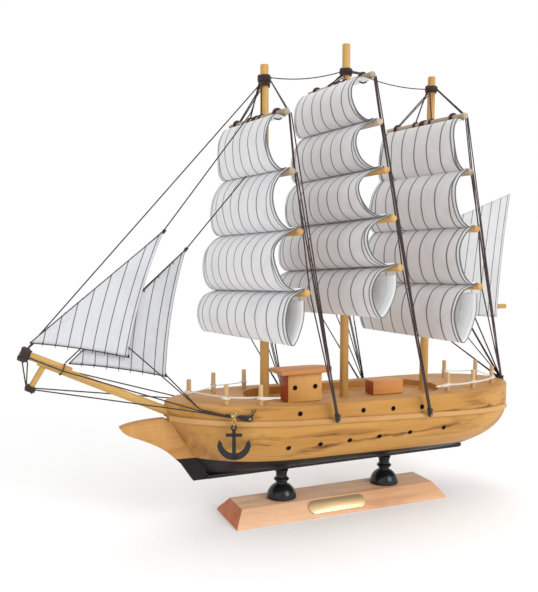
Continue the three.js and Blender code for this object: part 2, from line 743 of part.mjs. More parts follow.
// a square sail from its yard down to the next one
const squareSail = (start, belly, shape) => sheet([
  start,
  [0.55 * belly, -0.06 * shape.height],
  [0.92 * belly, -0.26 * shape.height],
  [belly, -0.52 * shape.height],
  [0.82 * belly, -0.8 * shape.height],
  [0.45 * belly, -0.945 * shape.height],
  [YARD_RADIUS + 1.1, -0.945 * shape.height],
], shape);

// the lowest sail of a mast curls back up behind itself
const rolledSail = (belly, shape) => sheet([
  AHEAD_OF_YARD,
  [0.72 * belly, -0.1 * shape.height],
  [belly, -0.42 * shape.height],
  [0.95 * belly, -0.75 * shape.height],
  [0.7 * belly, -shape.height],
  [0.42 * belly, -0.86 * shape.height],
  [0.14 * belly, -0.5 * shape.height],
  [0.09 * belly, -YARD_RADIUS - 2],
], shape);

const sailGeometry = (mast, index) => {
  const [port, starboard] = mast.belly[index];
  const belly = (port + starboard) / 2;
  const skew = (port - starboard) / (port + starboard);
  const topHalf = mast.yardHalf[index] - SAIL_INSET;
  if (index === mast.yardHalf.length - 1) {
    return rolledSail(belly, { height: mast.rollHeight, topHalf, footHalf: topHalf, skew, twist: 0 });
  }
  return squareSail(index === 0 ? UNDER_YARD : AHEAD_OF_YARD, belly, {
    height: mast.yardPitch,
    topHalf,
    footHalf: mast.yardHalf[index + 1] - SAIL_INSET,
    skew,
    twist: yardTilt(mast, index + 1) - yardTilt(mast, index),
  });
};

const yardZ = (mast, index) => mast.topYardZ - index * mast.yardPitch;
const yardTilt = (mast, index) => {
  const share = index / (mast.yardHalf.length - 1);
  return THREE.MathUtils.degToRad(mast.tilt[0] + (mast.tilt[1] - mast.tilt[0]) * share);
};
const yardCentre = (mast, index) => v3(mastX(mast, yardZ(mast, index)) - YARD_OFFSET, 0, yardZ(mast, index));

// a point beside a yard: how far out to port or starboard, how far aft and how far up from its middle
const byYard = (mast, index, sign, along, aft, up = 0) => {
  const tilt = yardTilt(mast, index);
  return yardCentre(mast, index).add(v3(aft, sign * along, up).applyAxisAngle(v3(1, 0, 0), tilt));
};

const buildMasts = () => {
  MASTS.forEach((mast) => {
    piece(`${mast.name}_mast`, rod(
      mastPoint(mast, WELL_FLOOR_Z - MAST_SOCKET_DEPTH),
      mastPoint(mast, mast.headZ),
      MAST_RADIUS,
      MAST_TOP_RADIUS,
      16,
    ), "spar_wood");
    mast.yardHalf.forEach((half, index) => {
      const group = new THREE.Group();
      group.position.copy(yardCentre(mast, index));
      group.rotation.x = yardTilt(mast, index);
      ship.add(group);
      const number = index + 1;
      piece(`${mast.name}_yard_${number}`, rod(v3(0, -half, 0), v3(0, half, 0), YARD_RADIUS, YARD_RADIUS, 10),
        "spar_wood", group);
      piece(`${mast.name}_sail_${number}`, sailGeometry(mast, index), "cloth", group);
    });
  });
};

// ---------------------------------------------------------------- bowsprit, boom and fore-and-aft sails

const triangleSail = ({ tack, head, clew, y }) => {
  const outline = new THREE.Shape();
  const hollow = (a, b, depth) => {
    const middle = [(a[0] + b[0]) / 2, (a[1] + b[1]) / 2];
    const length = Math.hypot(b[0] - a[0], b[1] - a[1]);
    const normal = [-(b[1] - a[1]) / length, (b[0] - a[0]) / length];
    outline.quadraticCurveTo(middle[0] + normal[0] * depth, middle[1] + normal[1] * depth, b[0], b[1]);
  };
  outline.moveTo(tack[0], tack[1]);
  hollow(tack, clew, 2);
  hollow(clew, head, 5);
  outline.closePath();
  return plate(outline, SAIL_THICKNESS, y);
};

const STRIKER_UP = (() => {
  const top = bowspritPoint(bowspritShareAt(STRIKER_TOP_X));
  return top.sub(v3(STRIKER_FOOT[0], 0, STRIKER_FOOT[1])).normalize();
})();

const buildHeadGear = () => {
  piece("bowsprit", rod(bowspritPoint(0), bowspritPoint(1), BOWSPRIT_RADIUS, BOWSPRIT_TIP_RADIUS, 16), "spar_wood");
  const strikerTop = bowspritPoint(bowspritShareAt(STRIKER_TOP_X));
  strikerTop.addScaledVector(STRIKER_UP, -BOWSPRIT_RADIUS - 3 * GAP);
  piece("dolphin_striker", rod(
    strikerTop,
    v3(STRIKER_FOOT[0], 0, STRIKER_FOOT[1]),
    STRIKER_RADIUS,
    STRIKER_RADIUS,
    12,
  ), "spar_wood");

  const mizzen = MASTS[2];
  piece("spanker_boom", rod(
    v3(mastX(mizzen, BOOM_Z) + MAST_RADIUS + GAP, 0, BOOM_Z),
    v3(BOOM_END_X, 0, BOOM_Z),
    BOOM_RADIUS,
    BOOM_RADIUS,
    10,
  ), "spar_wood");

  piece("outer_jib", triangleSail(OUTER_JIB), "cloth");
  piece("inner_jib", triangleSail(INNER_JIB), "cloth");
  const outline = new THREE.Shape([SPANKER.throat, SPANKER.peak, SPANKER.clew, SPANKER.tack]
    .map(([x, z]) => new THREE.Vector2(x, z)));
  piece("spanker", plate(outline, SAIL_THICKNESS, SPANKER.y), "cloth");
};

// ---------------------------------------------------------------- rigging

const lashingZ = (mast) => mast.headZ - mast.lashingDrop;

const mastLashing = (mast, z, height) => (
  lashing(mastPoint(mast, z), UP, MAST_RADIUS + GAP, height)
);

const buildShrouds = () => {
  const besideYard = YARD_RADIUS + GAP + THREAD_RADIUS;
  MASTS.forEach((mast, order) => {
    const parts = [mastLashing(mast, lashingZ(mast), LASHING_HEIGHT)];
    SIDES.forEach(({ sign }) => {
      const pin = pinFor(mast.name, sign).point;
      const start = mastPoint(mast, lashingZ(mast)).add(v3(1.5, sign * (MAST_RADIUS + GAP + 0.5), 0));
      const ends = (inboard, aft) => mast.yardHalf.map((half, i) => (
        byYard(mast, i, sign, half - inboard, besideYard + aft)
      ));
      // two threads run down behind every yard's end, then two more join them from lower yards
      parts.push(thread([start, ...ends(2.4, 0), pin]));
      parts.push(thread([start.clone().add(v3(0.6, 0, -1)), ...ends(4.2, 0.3), pin.clone().add(v3(-0.8, 0, 0.4))]));
      [1, 2].forEach((from) => {
        const path = [ends(2.4, 0)[from], ends(3.3, 1.4 * from)[mast.yardHalf.length - 1]];
        parts.push(thread([...path, pin.clone().add(v3(0.5 * from, 0, 0.5 * from))]));
      });
      parts.push(knot(pin, 1.5), nail(pinFor(mast.name, sign)));
    });
    // a slack stay hangs between this masthead and the one before it
    const before = MASTS[order - 1];
    if (before) {
      const clear = MAST_RADIUS + GAP + LASHING_WALL + 2 * GAP;
      const from = mastPoint(before, lashingZ(before) + STAY_FROM_LASHING).add(v3(clear, 0, 0));
      const to = mastPoint(mast, lashingZ(mast)).add(v3(-MAST_RADIUS - GAP - LASHING_WALL / 2, 0, 0));
      parts.push(slackThread(from, to, STAY_SAG));
    }
    piece(`${mast.name}_shrouds`, join(parts), "thread");
  });
};

const buildStays = () => {
  const fore = MASTS[0];
  const collarZ = lashingZ(fore) - LASHING_HEIGHT / 2 - 2.4;
  const collarEdge = MAST_RADIUS + GAP + 0.5;
  const parts = [mastLashing(fore, collarZ, 3.2)];
  const tip = bowspritPoint(0.975);
  const mid = bowspritPoint(bowspritShareAt(-170.5));
  [tip, mid].forEach((point) => {
    parts.push(lashing(point, BOWSPRIT_DIRECTION, BOWSPRIT_RADIUS + GAP, 3.4));
  });
  const ring = BOWSPRIT_RADIUS + GAP + 0.6;
  const above = v3(0.42, 0, 0.91);
  const onTop = (point, y) => {
    const rise = Math.sqrt(Math.max(0, ring * ring - y * y));
    return point.clone().addScaledVector(above, rise).add(v3(0, y, 0));
  };
  const collar = (y) => v3(fore.headX - collarEdge * 0.8, y, collarZ);

  // the topmost stay, and the two stays that the jibs are bent to; the inner one is knotted
  // in the crease between the first and second sails
  parts.push(thread([collar(0), onTop(tip, 0)]));
  const bendStay = (jib, yard, ahead, rise, from, foot) => {
    const y = jib.y - Math.sign(jib.y) * STAY_FROM_JIB;
    const overYard = v3(yardCentre(fore, yard).x - ahead, y, yardZ(fore, yard) + rise);
    const path = [overYard, v3(jib.head[0], y, jib.head[1]), onTop(foot, y)];
    return thread(from ? [from(y), ...path] : path);
  };
  parts.push(bendStay(OUTER_JIB, 0, 4, 3.8, collar, tip));
  parts.push(bendStay(INNER_JIB, 1, 6.6, 1.2, undefined, mid));

  // the striker's foot is held to the bowsprit's end
  const foot = v3(STRIKER_FOOT[0], 0, STRIKER_FOOT[1]).addScaledVector(STRIKER_UP, 3);
  parts.push(lashing(foot, STRIKER_UP, STRIKER_RADIUS + GAP, 2.6));
  [-1, 1].forEach((end) => {
    const under = tip.clone().addScaledVector(BOWSPRIT_DIRECTION, end * 1.2).add(v3(0, 0, -ring));
    parts.push(thread([under, foot.clone().add(v3(-2.6, -end * 0.5, 0.3 * end))]));
  });
  const alongSide = (sign, drop) => BOW_LEAD.map(([x, z]) => onSide(x, z - drop, sign, BOW_PIN.outboard));
  SIDES.forEach(({ sign }) => {
    const pin = pinFor("bow", sign).point;
    const beside = (point) => point.clone().add(v3(0, sign * ring, -0.4));
    parts.push(thread([beside(tip), beside(mid), ...alongSide(sign, 0), pin]));
    parts.push(thread([foot.clone().add(v3(0.6, sign * 2.3, 0)), ...alongSide(sign, 0.8), pin]));
    parts.push(knot(pin, 1.2), nail(pinFor("bow", sign)));
  });

  // the jibs' clews are led to the port bow
  [{ jib: OUTER_JIB, up: 6 }, { jib: INNER_JIB, up: 1 }].forEach(({ jib, up }) => {
    const clew = v3(jib.clew[0], jib.y - STAY_FROM_JIB, jib.clew[1] + up);
    parts.push(thread([clew, alongSide(-1, -1)[0], alongSide(-1, 0)[1]]));
  });
  piece("bow_rigging", join(parts), "thread");
};

// ---------------------------------------------------------------- anchors

const anchorGeometry = () => {
  const flat = (shape) => {
    const geometry = new THREE.ExtrudeGeometry(shape, {
      depth: ANCHOR_THICKNESS,
      bevelEnabled: false,
      curveSegments: 8,
    });
    geometry.rotateX(Math.PI / 2);
    geometry.translate(0, ANCHOR_THICKNESS / 2, 0);
    return geometry;
  };
  const eye = new THREE.Shape();
  eye.absarc(0, 0, ANCHOR_EYE_RADIUS, 0, 2 * Math.PI);
  const hole = new THREE.Path();
  hole.absarc(0, 0, ANCHOR_EYE_HOLE, 0, 2 * Math.PI);
  eye.holes.push(hole);
  const bar = (x0, x1, z0, z1) => new THREE.Shape([[x0, z0], [x1, z0], [x1, z1], [x0, z1]]
    .map(([x, z]) => new THREE.Vector2(x, z)));
  const crown = -ANCHOR_HEIGHT + ANCHOR_EYE_RADIUS;
  const armCentreZ = crown + ANCHOR_HALF_WIDTH;
  const arms = new THREE.Shape();
  const reach = THREE.MathUtils.degToRad(8);
  arms.absarc(0, armCentreZ, ANCHOR_HALF_WIDTH, Math.PI + reach, 2 * Math.PI - reach, false);
  arms.lineTo(ANCHOR_HALF_WIDTH - 1.1, armCentreZ + 1.8);
  arms.absarc(0, armCentreZ + 1.4, ANCHOR_HALF_WIDTH - 2.9, -reach, -Math.PI + reach, true);
  arms.lineTo(-ANCHOR_HALF_WIDTH + 1.1, armCentreZ + 1.8);
  return join([
    flat(eye),
    flat(bar(-1.15, 1.15, crown + 0.6, -ANCHOR_EYE_RADIUS + 0.3)),
    flat(bar(-4.6, 4.6, -4.9, -3.3)),
    flat(arms),
  ]);
};

const buildAnchors = () => {
  SIDES.forEach(({ name, sign }) => {
    const normal = sideNormal(ANCHOR_X, ANCHOR_NAIL_Z, sign);
    const turn = Math.atan2(-normal.x * sign, normal.y * sign);
    const hanger = new THREE.Group();
    hanger.position.copy(onSide(ANCHOR_X, ANCHOR_NAIL_Z, sign, 0));
    hanger.rotation.z = turn;
    ship.add(hanger);
    const out = sign * ANCHOR_OFFSET;
    piece(`anchor_nail_${name}`, join([
      rod(v3(0, -sign * (NAIL_DEPTH - GAP), 0), v3(0, out + sign * 2.4, 0), NAIL_RADIUS),
      rod(v3(0, out + sign * 2.2, 0), v3(0, out + sign * 2.9, 0), 1.2),
    ]), "iron", hanger);
    // links lie in turn across and along the nail, each hooked over the wire of the one above
    let hook = NAIL_RADIUS + GAP; // height of the top of each link's opening
    const links = CHAIN_LINKS.map((radius, i) => {
      const link = new THREE.TorusGeometry(radius, LINK_WIRE, 6, 10);
      if (i % 2 === 0) {
        link.rotateX(Math.PI / 2);
      } else {
        link.rotateY(Math.PI / 2);
      }
      const centre = hook - radius + LINK_WIRE;
      link.translate(0, out, centre);
      hook = centre - radius + LINK_WIRE - LINK_BITE;
      return link;
    });
    piece(`anchor_chain_${name}`, join(links), "brass", hanger);
    const anchor = piece(`anchor_${name}`, anchorGeometry(), "iron", hanger);
    anchor.position.set(0, out, hook + LINK_BITE + GAP - ANCHOR_EYE_HOLE);
  });
};

buildStand();
buildHull();
buildDeck();
buildMasts();
buildHeadGear();
buildShrouds();
buildStays();
buildAnchors();

export default ship;
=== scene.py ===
"""A wooden model of a three-masted sailing ship on a display stand.

Sizes are in millimetres until a piece is finished, with +Z up, +X towards the stern and -Y to port.
"""
import logging
import math
from collections.abc import Callable, Iterable, Sequence
from dataclasses import dataclass, field
from enum import Enum

import bmesh
import bpy
from bpy.types import Material, NodeSocket, NodeTree, Object, bpy_prop_collection as Outputs
from mathutils import Matrix, Vector, noise
from mathutils.geometry import interpolate_bezier


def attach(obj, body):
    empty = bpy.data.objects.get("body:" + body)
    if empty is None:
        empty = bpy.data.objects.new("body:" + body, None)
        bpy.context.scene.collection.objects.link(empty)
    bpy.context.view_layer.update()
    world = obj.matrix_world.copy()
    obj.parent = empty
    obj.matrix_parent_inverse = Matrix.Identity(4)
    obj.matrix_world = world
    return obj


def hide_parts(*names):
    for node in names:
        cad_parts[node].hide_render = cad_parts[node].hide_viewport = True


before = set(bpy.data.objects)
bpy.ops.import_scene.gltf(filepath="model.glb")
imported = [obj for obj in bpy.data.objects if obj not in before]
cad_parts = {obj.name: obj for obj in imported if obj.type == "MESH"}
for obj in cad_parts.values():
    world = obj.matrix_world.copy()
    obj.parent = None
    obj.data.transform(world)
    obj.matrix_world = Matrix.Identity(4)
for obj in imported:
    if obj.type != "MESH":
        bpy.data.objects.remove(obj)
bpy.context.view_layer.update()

logging.basicConfig(level=logging.INFO, format="%(message)s")
log = logging.getLogger("ship")

MM = 0.001
GAP = 0.3
UP = Vector((0, 0, 1))
PORT, STARBOARD = -1, 1
SIDES = {"port": PORT, "starboard": STARBOARD}
SEAM_PITCH = 15.0
JIB_SEAM_PITCH = 6.9
SPANKER_SEAM_PITCH = 8.0
CLOTH_MAP_UNIT = 10
WHITE = (1.0, 1.0, 1.0)
Colour = tuple[float, float, float]


class Slot(Enum):
    """The material slots."""

    PINE = "pine"
    STAND = "stand_wood"
    CABIN = "cabin_wood"
    SPAR = "spar_wood"
    PAINT = "black_paint"
    CLOTH = "cloth"
    THREAD = "thread"
    BRASS = "brass"
    IRON = "iron"


class Along(Enum):
    """Which way a wood's fibres run."""

    X = (0.1, 1.0, 1.0)
    Y = (1.0, 0.1, 1.0)
    Z = (1.0, 1.0, 0.1)


# --- shader nodes


class Bench:
    """Adds nodes to one tree and links them."""

    def __init__(self, tree: NodeTree) -> None:
        """Keeps the tree to work on."""
        self.tree = tree

    def add(self, kind: str, inputs: dict[str, object] | None = None, **settings: object) -> bpy.types.Node:
        """Adds a node.

        Args:
            kind: the node's type, without its ShaderNode prefix.
            inputs: sockets by name, each a value or another node's output.
            settings: the node's own properties.

        Returns:
            The node.
        """
        node = self.tree.nodes.new(kind if kind.startswith("Node") else "ShaderNode" + kind)
        for name, value in settings.items():
            setattr(node, name, value)
        for name, value in (inputs or {}).items():
            self.feed(node.inputs[name], value)
        return node

    def feed(self, socket: NodeSocket, value: object) -> None:
        """Links an output to a socket, or sets the socket's own value.

        Args:
            socket: the input to fill.
            value: an output, a number or a colour.
        """
        if isinstance(value, NodeSocket):
            self.tree.links.new(value, socket)
        elif isinstance(value, tuple) and len(value) == 3 and socket.type == "RGBA":
            socket.default_value = (*value, 1)
        else:
            socket.default_value = value

    def math(self, operation: str, *values: object, clamp: bool = False) -> NodeSocket:
        """Adds a Math node.

        Args:
            operation: the node's operation.
            clamp: whether the result stays within 0 and 1.
            values: outputs or numbers.

        Returns:
            The result.
        """
        node = self.add("Math", operation=operation, use_clamp=clamp)
        for socket, value in zip(node.inputs, values):
            self.feed(socket, value)
        return node.outputs[0]

    def mix(self, share: object, first: object, second: object, blend: str = "MIX") -> NodeSocket:
        """Mixes two colours.

        Args:
            share: how much of the second shows.
            first: a colour.
            second: another colour.
            blend: the blend type.

        Returns:
            The mixed colour.
        """
        node = self.add("Mix", data_type="RGBA", blend_type=blend)
        for index, value in ((0, share), (6, first), (7, second)):
            self.feed(node.inputs[index], value)
        return node.outputs[2]

    def step(self, value: object, low: float, high: float) -> NodeSocket:
        """Turns a value into a mask that rises smoothly from 0 at low to 1 at high."""
        inputs = {"Value": value, "From Min": low, "From Max": high}
        return self.add("MapRange", inputs, interpolation_type="SMOOTHSTEP").outputs[0]

    def noise(self, vector: object, scale: float, detail: float = 3, distortion: float = 0) -> NodeSocket:
        """Adds a noise texture and returns its factor."""
        inputs = {"Vector": vector, "Scale": scale, "Detail": detail, "Distortion": distortion}
        return self.add("TexNoise", inputs).outputs[0]

    def place(self, vector: object, scale: Sequence[float],
              turn: Sequence[float] = (0, 0, 0)) -> NodeSocket:
        """Scales and turns coordinates with a Mapping node."""
        inputs = {"Vector": vector, "Scale": tuple(scale), "Rotation": tuple(turn)}
        return self.add("Mapping", inputs).outputs[0]

    def split(self, vector: object) -> Outputs:
        """Splits coordinates into X, Y and Z."""
        return self.add("SeparateXYZ", {"Vector": vector}).outputs


def new_group(name: str, inputs: dict[str, str], outputs: dict[str, str]) -> tuple[Bench, object, object]:
    """Makes an empty shader node group.

    Args:
        name: the group's name.
        inputs: the kind of each input, by name.
        outputs: the kind of each output, by name.

    Returns:
        A bench on the group, its input node's outputs and its output node's inputs.
    """
    tree = bpy.data.node_groups.new(name, "ShaderNodeTree")
    for side, sockets in (("INPUT", inputs), ("OUTPUT", outputs)):
        for socket, kind in sockets.items():
            tree.interface.new_socket(socket, in_out=side, socket_type="NodeSocket" + kind)
    bench = Bench(tree)
    return bench, bench.add("NodeGroupInput").outputs, bench.add("NodeGroupOutput").inputs


def grain_group() -> NodeTree:
    """Wood: fine fibres, darker streaks and slow patches, with the fibres along the stretched axis.

    Returns:
        The node group.
    """
    bench, given, out = new_group(
        "Grain",
        {"Vector": "Vector", "Fineness": "Float", "Wave": "Float"},
        {"Fibres": "Float", "Streaks": "Float", "Patches": "Float", "Height": "Float"},
    )
    bend = bench.noise(given["Vector"], 22, 2)
    bent = bench.add("VectorMath", {0: given["Vector"]}, operation="ADD")
    shift = bench.add("CombineXYZ", {
        "X": 0.0,
        "Y": bench.math("MULTIPLY", bench.math("SUBTRACT", bend, 0.5), given["Wave"]),
        "Z": bench.math("MULTIPLY", bench.math("SUBTRACT", bend, 0.5), given["Wave"]),
    })
    bench.feed(bent.inputs[1], shift.outputs[0])
    fine = bench.add("TexNoise", {"Vector": bent.outputs[0], "Scale": given["Fineness"], "Detail": 5.0})
    rings = bench.noise(bent.outputs[0], 170, 4, 0.6)
    patches = bench.noise(given["Vector"], 60, 2)
    bench.feed(out["Fibres"], bench.step(fine.outputs[0], 0.3, 0.75))
    bench.feed(out["Streaks"], bench.step(rings, 0.52, 0.74))
    bench.feed(out["Patches"], bench.step(patches, 0.3, 0.75))
    bench.feed(out["Height"], bench.math("ADD", fine.outputs[0], bench.math("MULTIPLY", rings, 0.5)))
    return bench.tree


def weave_group() -> NodeTree:
    """Plain-woven cloth, from coordinates in centimetres of cloth.

    Returns:
        The node group.
    """
    bench, given, out = new_group(
        "Weave", {"Vector": "Vector", "Threads": "Float"}, {"Height": "Float", "Slub": "Float"},
    )
    axes = bench.split(given["Vector"])
    turns = bench.math("MULTIPLY", given["Threads"], math.pi)
    warp = bench.math("SINE", bench.math("MULTIPLY", axes[0], turns))
    weft = bench.math("SINE", bench.math("MULTIPLY", axes[1], turns))
    cross = bench.math("MULTIPLY", warp, weft)
    slub = bench.noise(bench.place(given["Vector"], (9, 0.8, 1)), 1, 3)
    bench.feed(out["Height"], bench.math("ADD", bench.math("MULTIPLY", cross, 0.5), slub))
    bench.feed(out["Slub"], bench.step(slub, 0.3, 0.75))
    return bench.tree


def smudge_group() -> NodeTree:
    """Handling marks: a soft mottling with sparse fine specks.

    Returns:
        The node group.
    """
    bench, given, out = new_group(
        "Smudge", {"Vector": "Vector", "Size": "Float"}, {"Mottle": "Float", "Specks": "Float"},
    )
    soft = bench.add("TexNoise", {"Vector": given["Vector"], "Scale": given["Size"], "Detail": 4.0})
    fine = bench.add("TexNoise", {
        "Vector": given["Vector"],
        "Scale": bench.math("MULTIPLY", given["Size"], 11.0),
        "Detail": 2.0,
    })
    bench.feed(out["Mottle"], bench.step(soft.outputs[0], 0.3, 0.7))
    bench.feed(out["Specks"], bench.step(fine.outputs[0], 0.66, 0.76))
    return bench.tree


GROUPS: dict[str, NodeTree] = {}


def shared(name: str) -> NodeTree:
    """The shader node group of that name, built when first asked for.

    Args:
        name: one of Grain, Weave and Smudge.

    Returns:
        The node group.
    """
    makers = {"Grain": grain_group, "Weave": weave_group, "Smudge": smudge_group}
    if name not in GROUPS:
        GROUPS[name] = makers[name]()
    return GROUPS[name]


class Surface:
    """A material under construction: a bench with its Principled shader."""

    def __init__(self, name: str, roughness: float, **constants: float) -> None:
        """Starts a material.

        Args:
            name: the material's name.
            roughness: the shader's roughness where nothing feeds it.
            constants: other shader sockets, with _ for a space.
        """
        self.material = bpy.data.materials.new(name)
        self.material.use_nodes = True
        self.bench = Bench(self.material.node_tree)
        self.shader = self.material.node_tree.nodes["Principled BSDF"]
        self.shader.inputs["Roughness"].default_value = roughness
        for socket, value in constants.items():
            self.shader.inputs[socket.replace("_", " ")].default_value = value
        self.coordinates = self.bench.add("TexCoord").outputs["Object"]

    def group(self, name: str, **inputs: object) -> Outputs:
        """Places a shared node group.

        Args:
            name: the shared group's name.
            inputs: values for its inputs.

        Returns:
            The group's outputs.
        """
        node = self.bench.add("Group", node_tree=shared(name))
        for socket, value in inputs.items():
            self.bench.feed(node.inputs[socket], value)
        return node.outputs

    def colour(self, value: object) -> None:
        """Sets the base colour."""
        self.bench.feed(self.shader.inputs["Base Color"], value)

    def rough(self, value: object, low: float, high: float) -> None:
        """Makes the roughness run from low to high with a mask."""
        node = self.bench.add("MapRange", {"Value": value, "To Min": low, "To Max": high})
        self.bench.feed(self.shader.inputs["Roughness"], node.outputs[0])

    def bump(self, height: object, strength: float, distance: float) -> None:
        """Lets a height texture shape the surface; distance is in metres."""
        node = self.bench.add("Bump", {"Strength": strength, "Distance": distance, "Height": height})
        self.bench.feed(self.shader.inputs["Normal"], node.outputs[0])


@dataclass(frozen=True)
class Wood:
    """A varnished wood."""

    name: str
    light: Colour
    dark: Colour
    streak: Colour
    along: Along = Along.X
    turn: tuple[float, float, float] = (0, 0, 0)
    fineness: float = 900.0
    wave: float = 0.004
    streaks: float = 0.5
    roughness: tuple[float, float] = (0.42, 0.6)
    coat: float = 0.05

    def base(self, surface: Surface) -> tuple[NodeSocket, Outputs]:
        """Adds the wood's colour to a surface.

        Args:
            surface: the surface to dress.

        Returns:
            The colour, and the outputs of the grain.
        """
        bench = surface.bench
        stretched = bench.place(surface.coordinates, self.along.value, self.turn)
        grain = surface.group("Grain", Vector=stretched, Fineness=self.fineness, Wave=self.wave)
        tone = bench.mix(grain["Patches"], self.light, self.dark)
        fibred = bench.mix(bench.math("MULTIPLY", grain["Fibres"], 0.35), tone, self.dark)
        return bench.mix(bench.math("MULTIPLY", grain["Streaks"], self.streaks), fibred, self.streak), grain

    def finish(self, surface: Surface, colour: NodeSocket, grain: Outputs) -> None:
        """Dresses the surface with a colour and the grain's sheen and relief.

        Args:
            surface: the surface to dress.
            colour: its colour.
            grain: the grain's outputs.
        """
        surface.colour(colour)
        surface.rough(grain["Fibres"], *self.roughness)
        surface.bump(grain["Height"], 0.35, 0.00025)

    def make(self) -> Material:
        """Makes the material.

        Returns:
            The material.
        """
        surface = Surface(self.name, self.roughness[0], Coat_Weight=self.coat, Coat_Roughness=0.3,
                          Specular_IOR_Level=0.3)
        self.finish(surface, *self.base(surface))
        return surface.material


@dataclass(frozen=True)
class PaintedWood(Wood):
    """Hull wood with dark heart streaks, and black paint below a waterline that falls towards the stern."""

    paint: Colour = (0.009, 0.008, 0.01)
    worn_paint: Colour = (0.02, 0.019, 0.02)
    line_z: float = 39.4
    line_slope: float = -0.029
    bow_slope: float = 1.4
    bow_edge: float = -0.018
    bow_tint: Colour = (0.26, 0.1, 0.03)
    bow_share: float = 0.8
    heart: tuple[tuple[float, float, float, float, float], ...] = (
        (-42, 75, 48.6, 0.045, 2.4),
        (-75, 5, 56.0, -0.012, 1.9),
        (20, 118, 59.4, 0.03, 1.6),
    )

    def bow_mask(self, surface: Surface, axes: Outputs) -> NodeSocket:
        """Where the bow is darker, in slanting bands.

        Args:
            surface: the surface to dress.
            axes: its separated coordinates.

        Returns:
            The mask, 1 where the bow is darker.
        """
        bench = surface.bench
        slanted = bench.noise(bench.place(surface.coordinates, (3, 1, 0.5), (0, -0.62, 0)), 70, 3, 0.3)
        forward = bench.math("MULTIPLY_ADD", axes[2], self.bow_slope, axes[0])
        bow = bench.math("SUBTRACT", 1.0, bench.step(forward, self.bow_edge - 0.014, self.bow_edge + 0.012))
        return bench.math("MULTIPLY", bench.math("MULTIPLY", bow, self.bow_share),
                          bench.step(slanted, 0.25, 0.6))

    def heart_mask(self, bench: Bench, axes: Outputs, wander: NodeSocket,
                   band: tuple[float, float, float, float, float]) -> NodeSocket:
        """One wandering streak of heart wood.

        Args:
            bench: the material's bench.
            axes: the coordinates' X, Y and Z.
            wander: a noise that bends the streak.
            band: where it starts and ends, its height, its slope and its half width, in millimetres.

        Returns:
            The streak's mask.
        """
        start, end, height, slope, spread = band
        centre = bench.math("MULTIPLY_ADD", axes[0], slope, height * MM)
        off = bench.math("SUBTRACT", axes[2], centre)
        bent = bench.math("MULTIPLY_ADD", bench.math("SUBTRACT", wander, 0.5), 0.016, off)
        near = bench.math("SUBTRACT", 1.0, bench.step(bench.math("ABSOLUTE", bent), 0.0, spread * MM))
        within = bench.math(
            "MULTIPLY",
            bench.step(axes[0], (start - 12) * MM, (start + 12) * MM),
            bench.math("SUBTRACT", 1.0, bench.step(axes[0], (end - 14) * MM, (end + 14) * MM)),
        )
        return bench.math("MULTIPLY", near, within)

    def make(self) -> Material:
        """Makes the material.

        Returns:
            The material.
        """
        surface = Surface(self.name, self.roughness[0], Coat_Weight=self.coat, Coat_Roughness=0.25,
                          Specular_IOR_Level=0.15)
        bench = surface.bench
        colour, grain = self.base(surface)
        axes = bench.split(surface.coordinates)
        wander = bench.noise(bench.place(surface.coordinates, (0.35, 1, 1)), 60, 4, 0.8)
        broken = bench.noise(bench.place(surface.coordinates, (0.25, 1, 2.5)), 160, 4, 0.5)
        broken = bench.step(broken, 0.36, 0.6)
        colour = bench.mix(self.bow_mask(surface, axes), colour, self.bow_tint)
        for band in self.heart:
            mask = bench.math("MULTIPLY", self.heart_mask(bench, axes, wander, band), broken)
            colour = bench.mix(bench.math("MULTIPLY", mask, 0.9), colour, self.streak)
        line = bench.math("MULTIPLY_ADD", axes[0], self.line_slope, self.line_z * MM)
        ragged = bench.math("MULTIPLY", bench.math("SUBTRACT", wander, 0.5), 0.0006)
        below = bench.math("ADD", bench.math("SUBTRACT", line, axes[2]), ragged)
        painted = bench.step(below, -0.00015, 0.00015)
        worn = surface.group("Smudge", Vector=surface.coordinates, Size=90.0)
        paint = bench.mix(bench.math("MULTIPLY", worn["Mottle"], 0.5), self.paint, self.worn_paint)
        surface.colour(bench.mix(painted, colour, paint))
        low, high = self.roughness
        bare = bench.add("MapRange", {"Value": grain["Fibres"], "To Min": low, "To Max": high}).outputs[0]
        node = bench.add("Mix", {0: painted, 2: bare, 3: 0.5})
        bench.feed(surface.shader.inputs["Roughness"], node.outputs[0])
        surface.bump(grain["Height"], 0.3, 0.00025)
        return surface.material


@dataclass(frozen=True)
class Paint:
    """Gloss paint with faint dust."""

    name: str
    colour: Colour
    roughness: tuple[float, float] = (0.16, 0.3)
    metallic: float = 0.0
    size: float = 120.0

    def make(self) -> Material:
        """Makes the material.

        Returns:
            The material.
        """
        surface = Surface(self.name, self.roughness[0], Metallic=self.metallic, Coat_Weight=0.12, Coat_Roughness=0.1,
                          Specular_IOR_Level=0.3)
        marks = surface.group("Smudge", Vector=surface.coordinates, Size=self.size)
        lighter = tuple(min(1.0, channel * 1.5 + 0.006) for channel in self.colour)
        surface.colour(surface.bench.mix(surface.bench.math("MULTIPLY", marks["Mottle"], 0.6), self.colour, lighter))
        surface.rough(marks["Mottle"], *self.roughness)
        surface.bump(marks["Specks"], 0.15, 0.0001)
        return surface.material


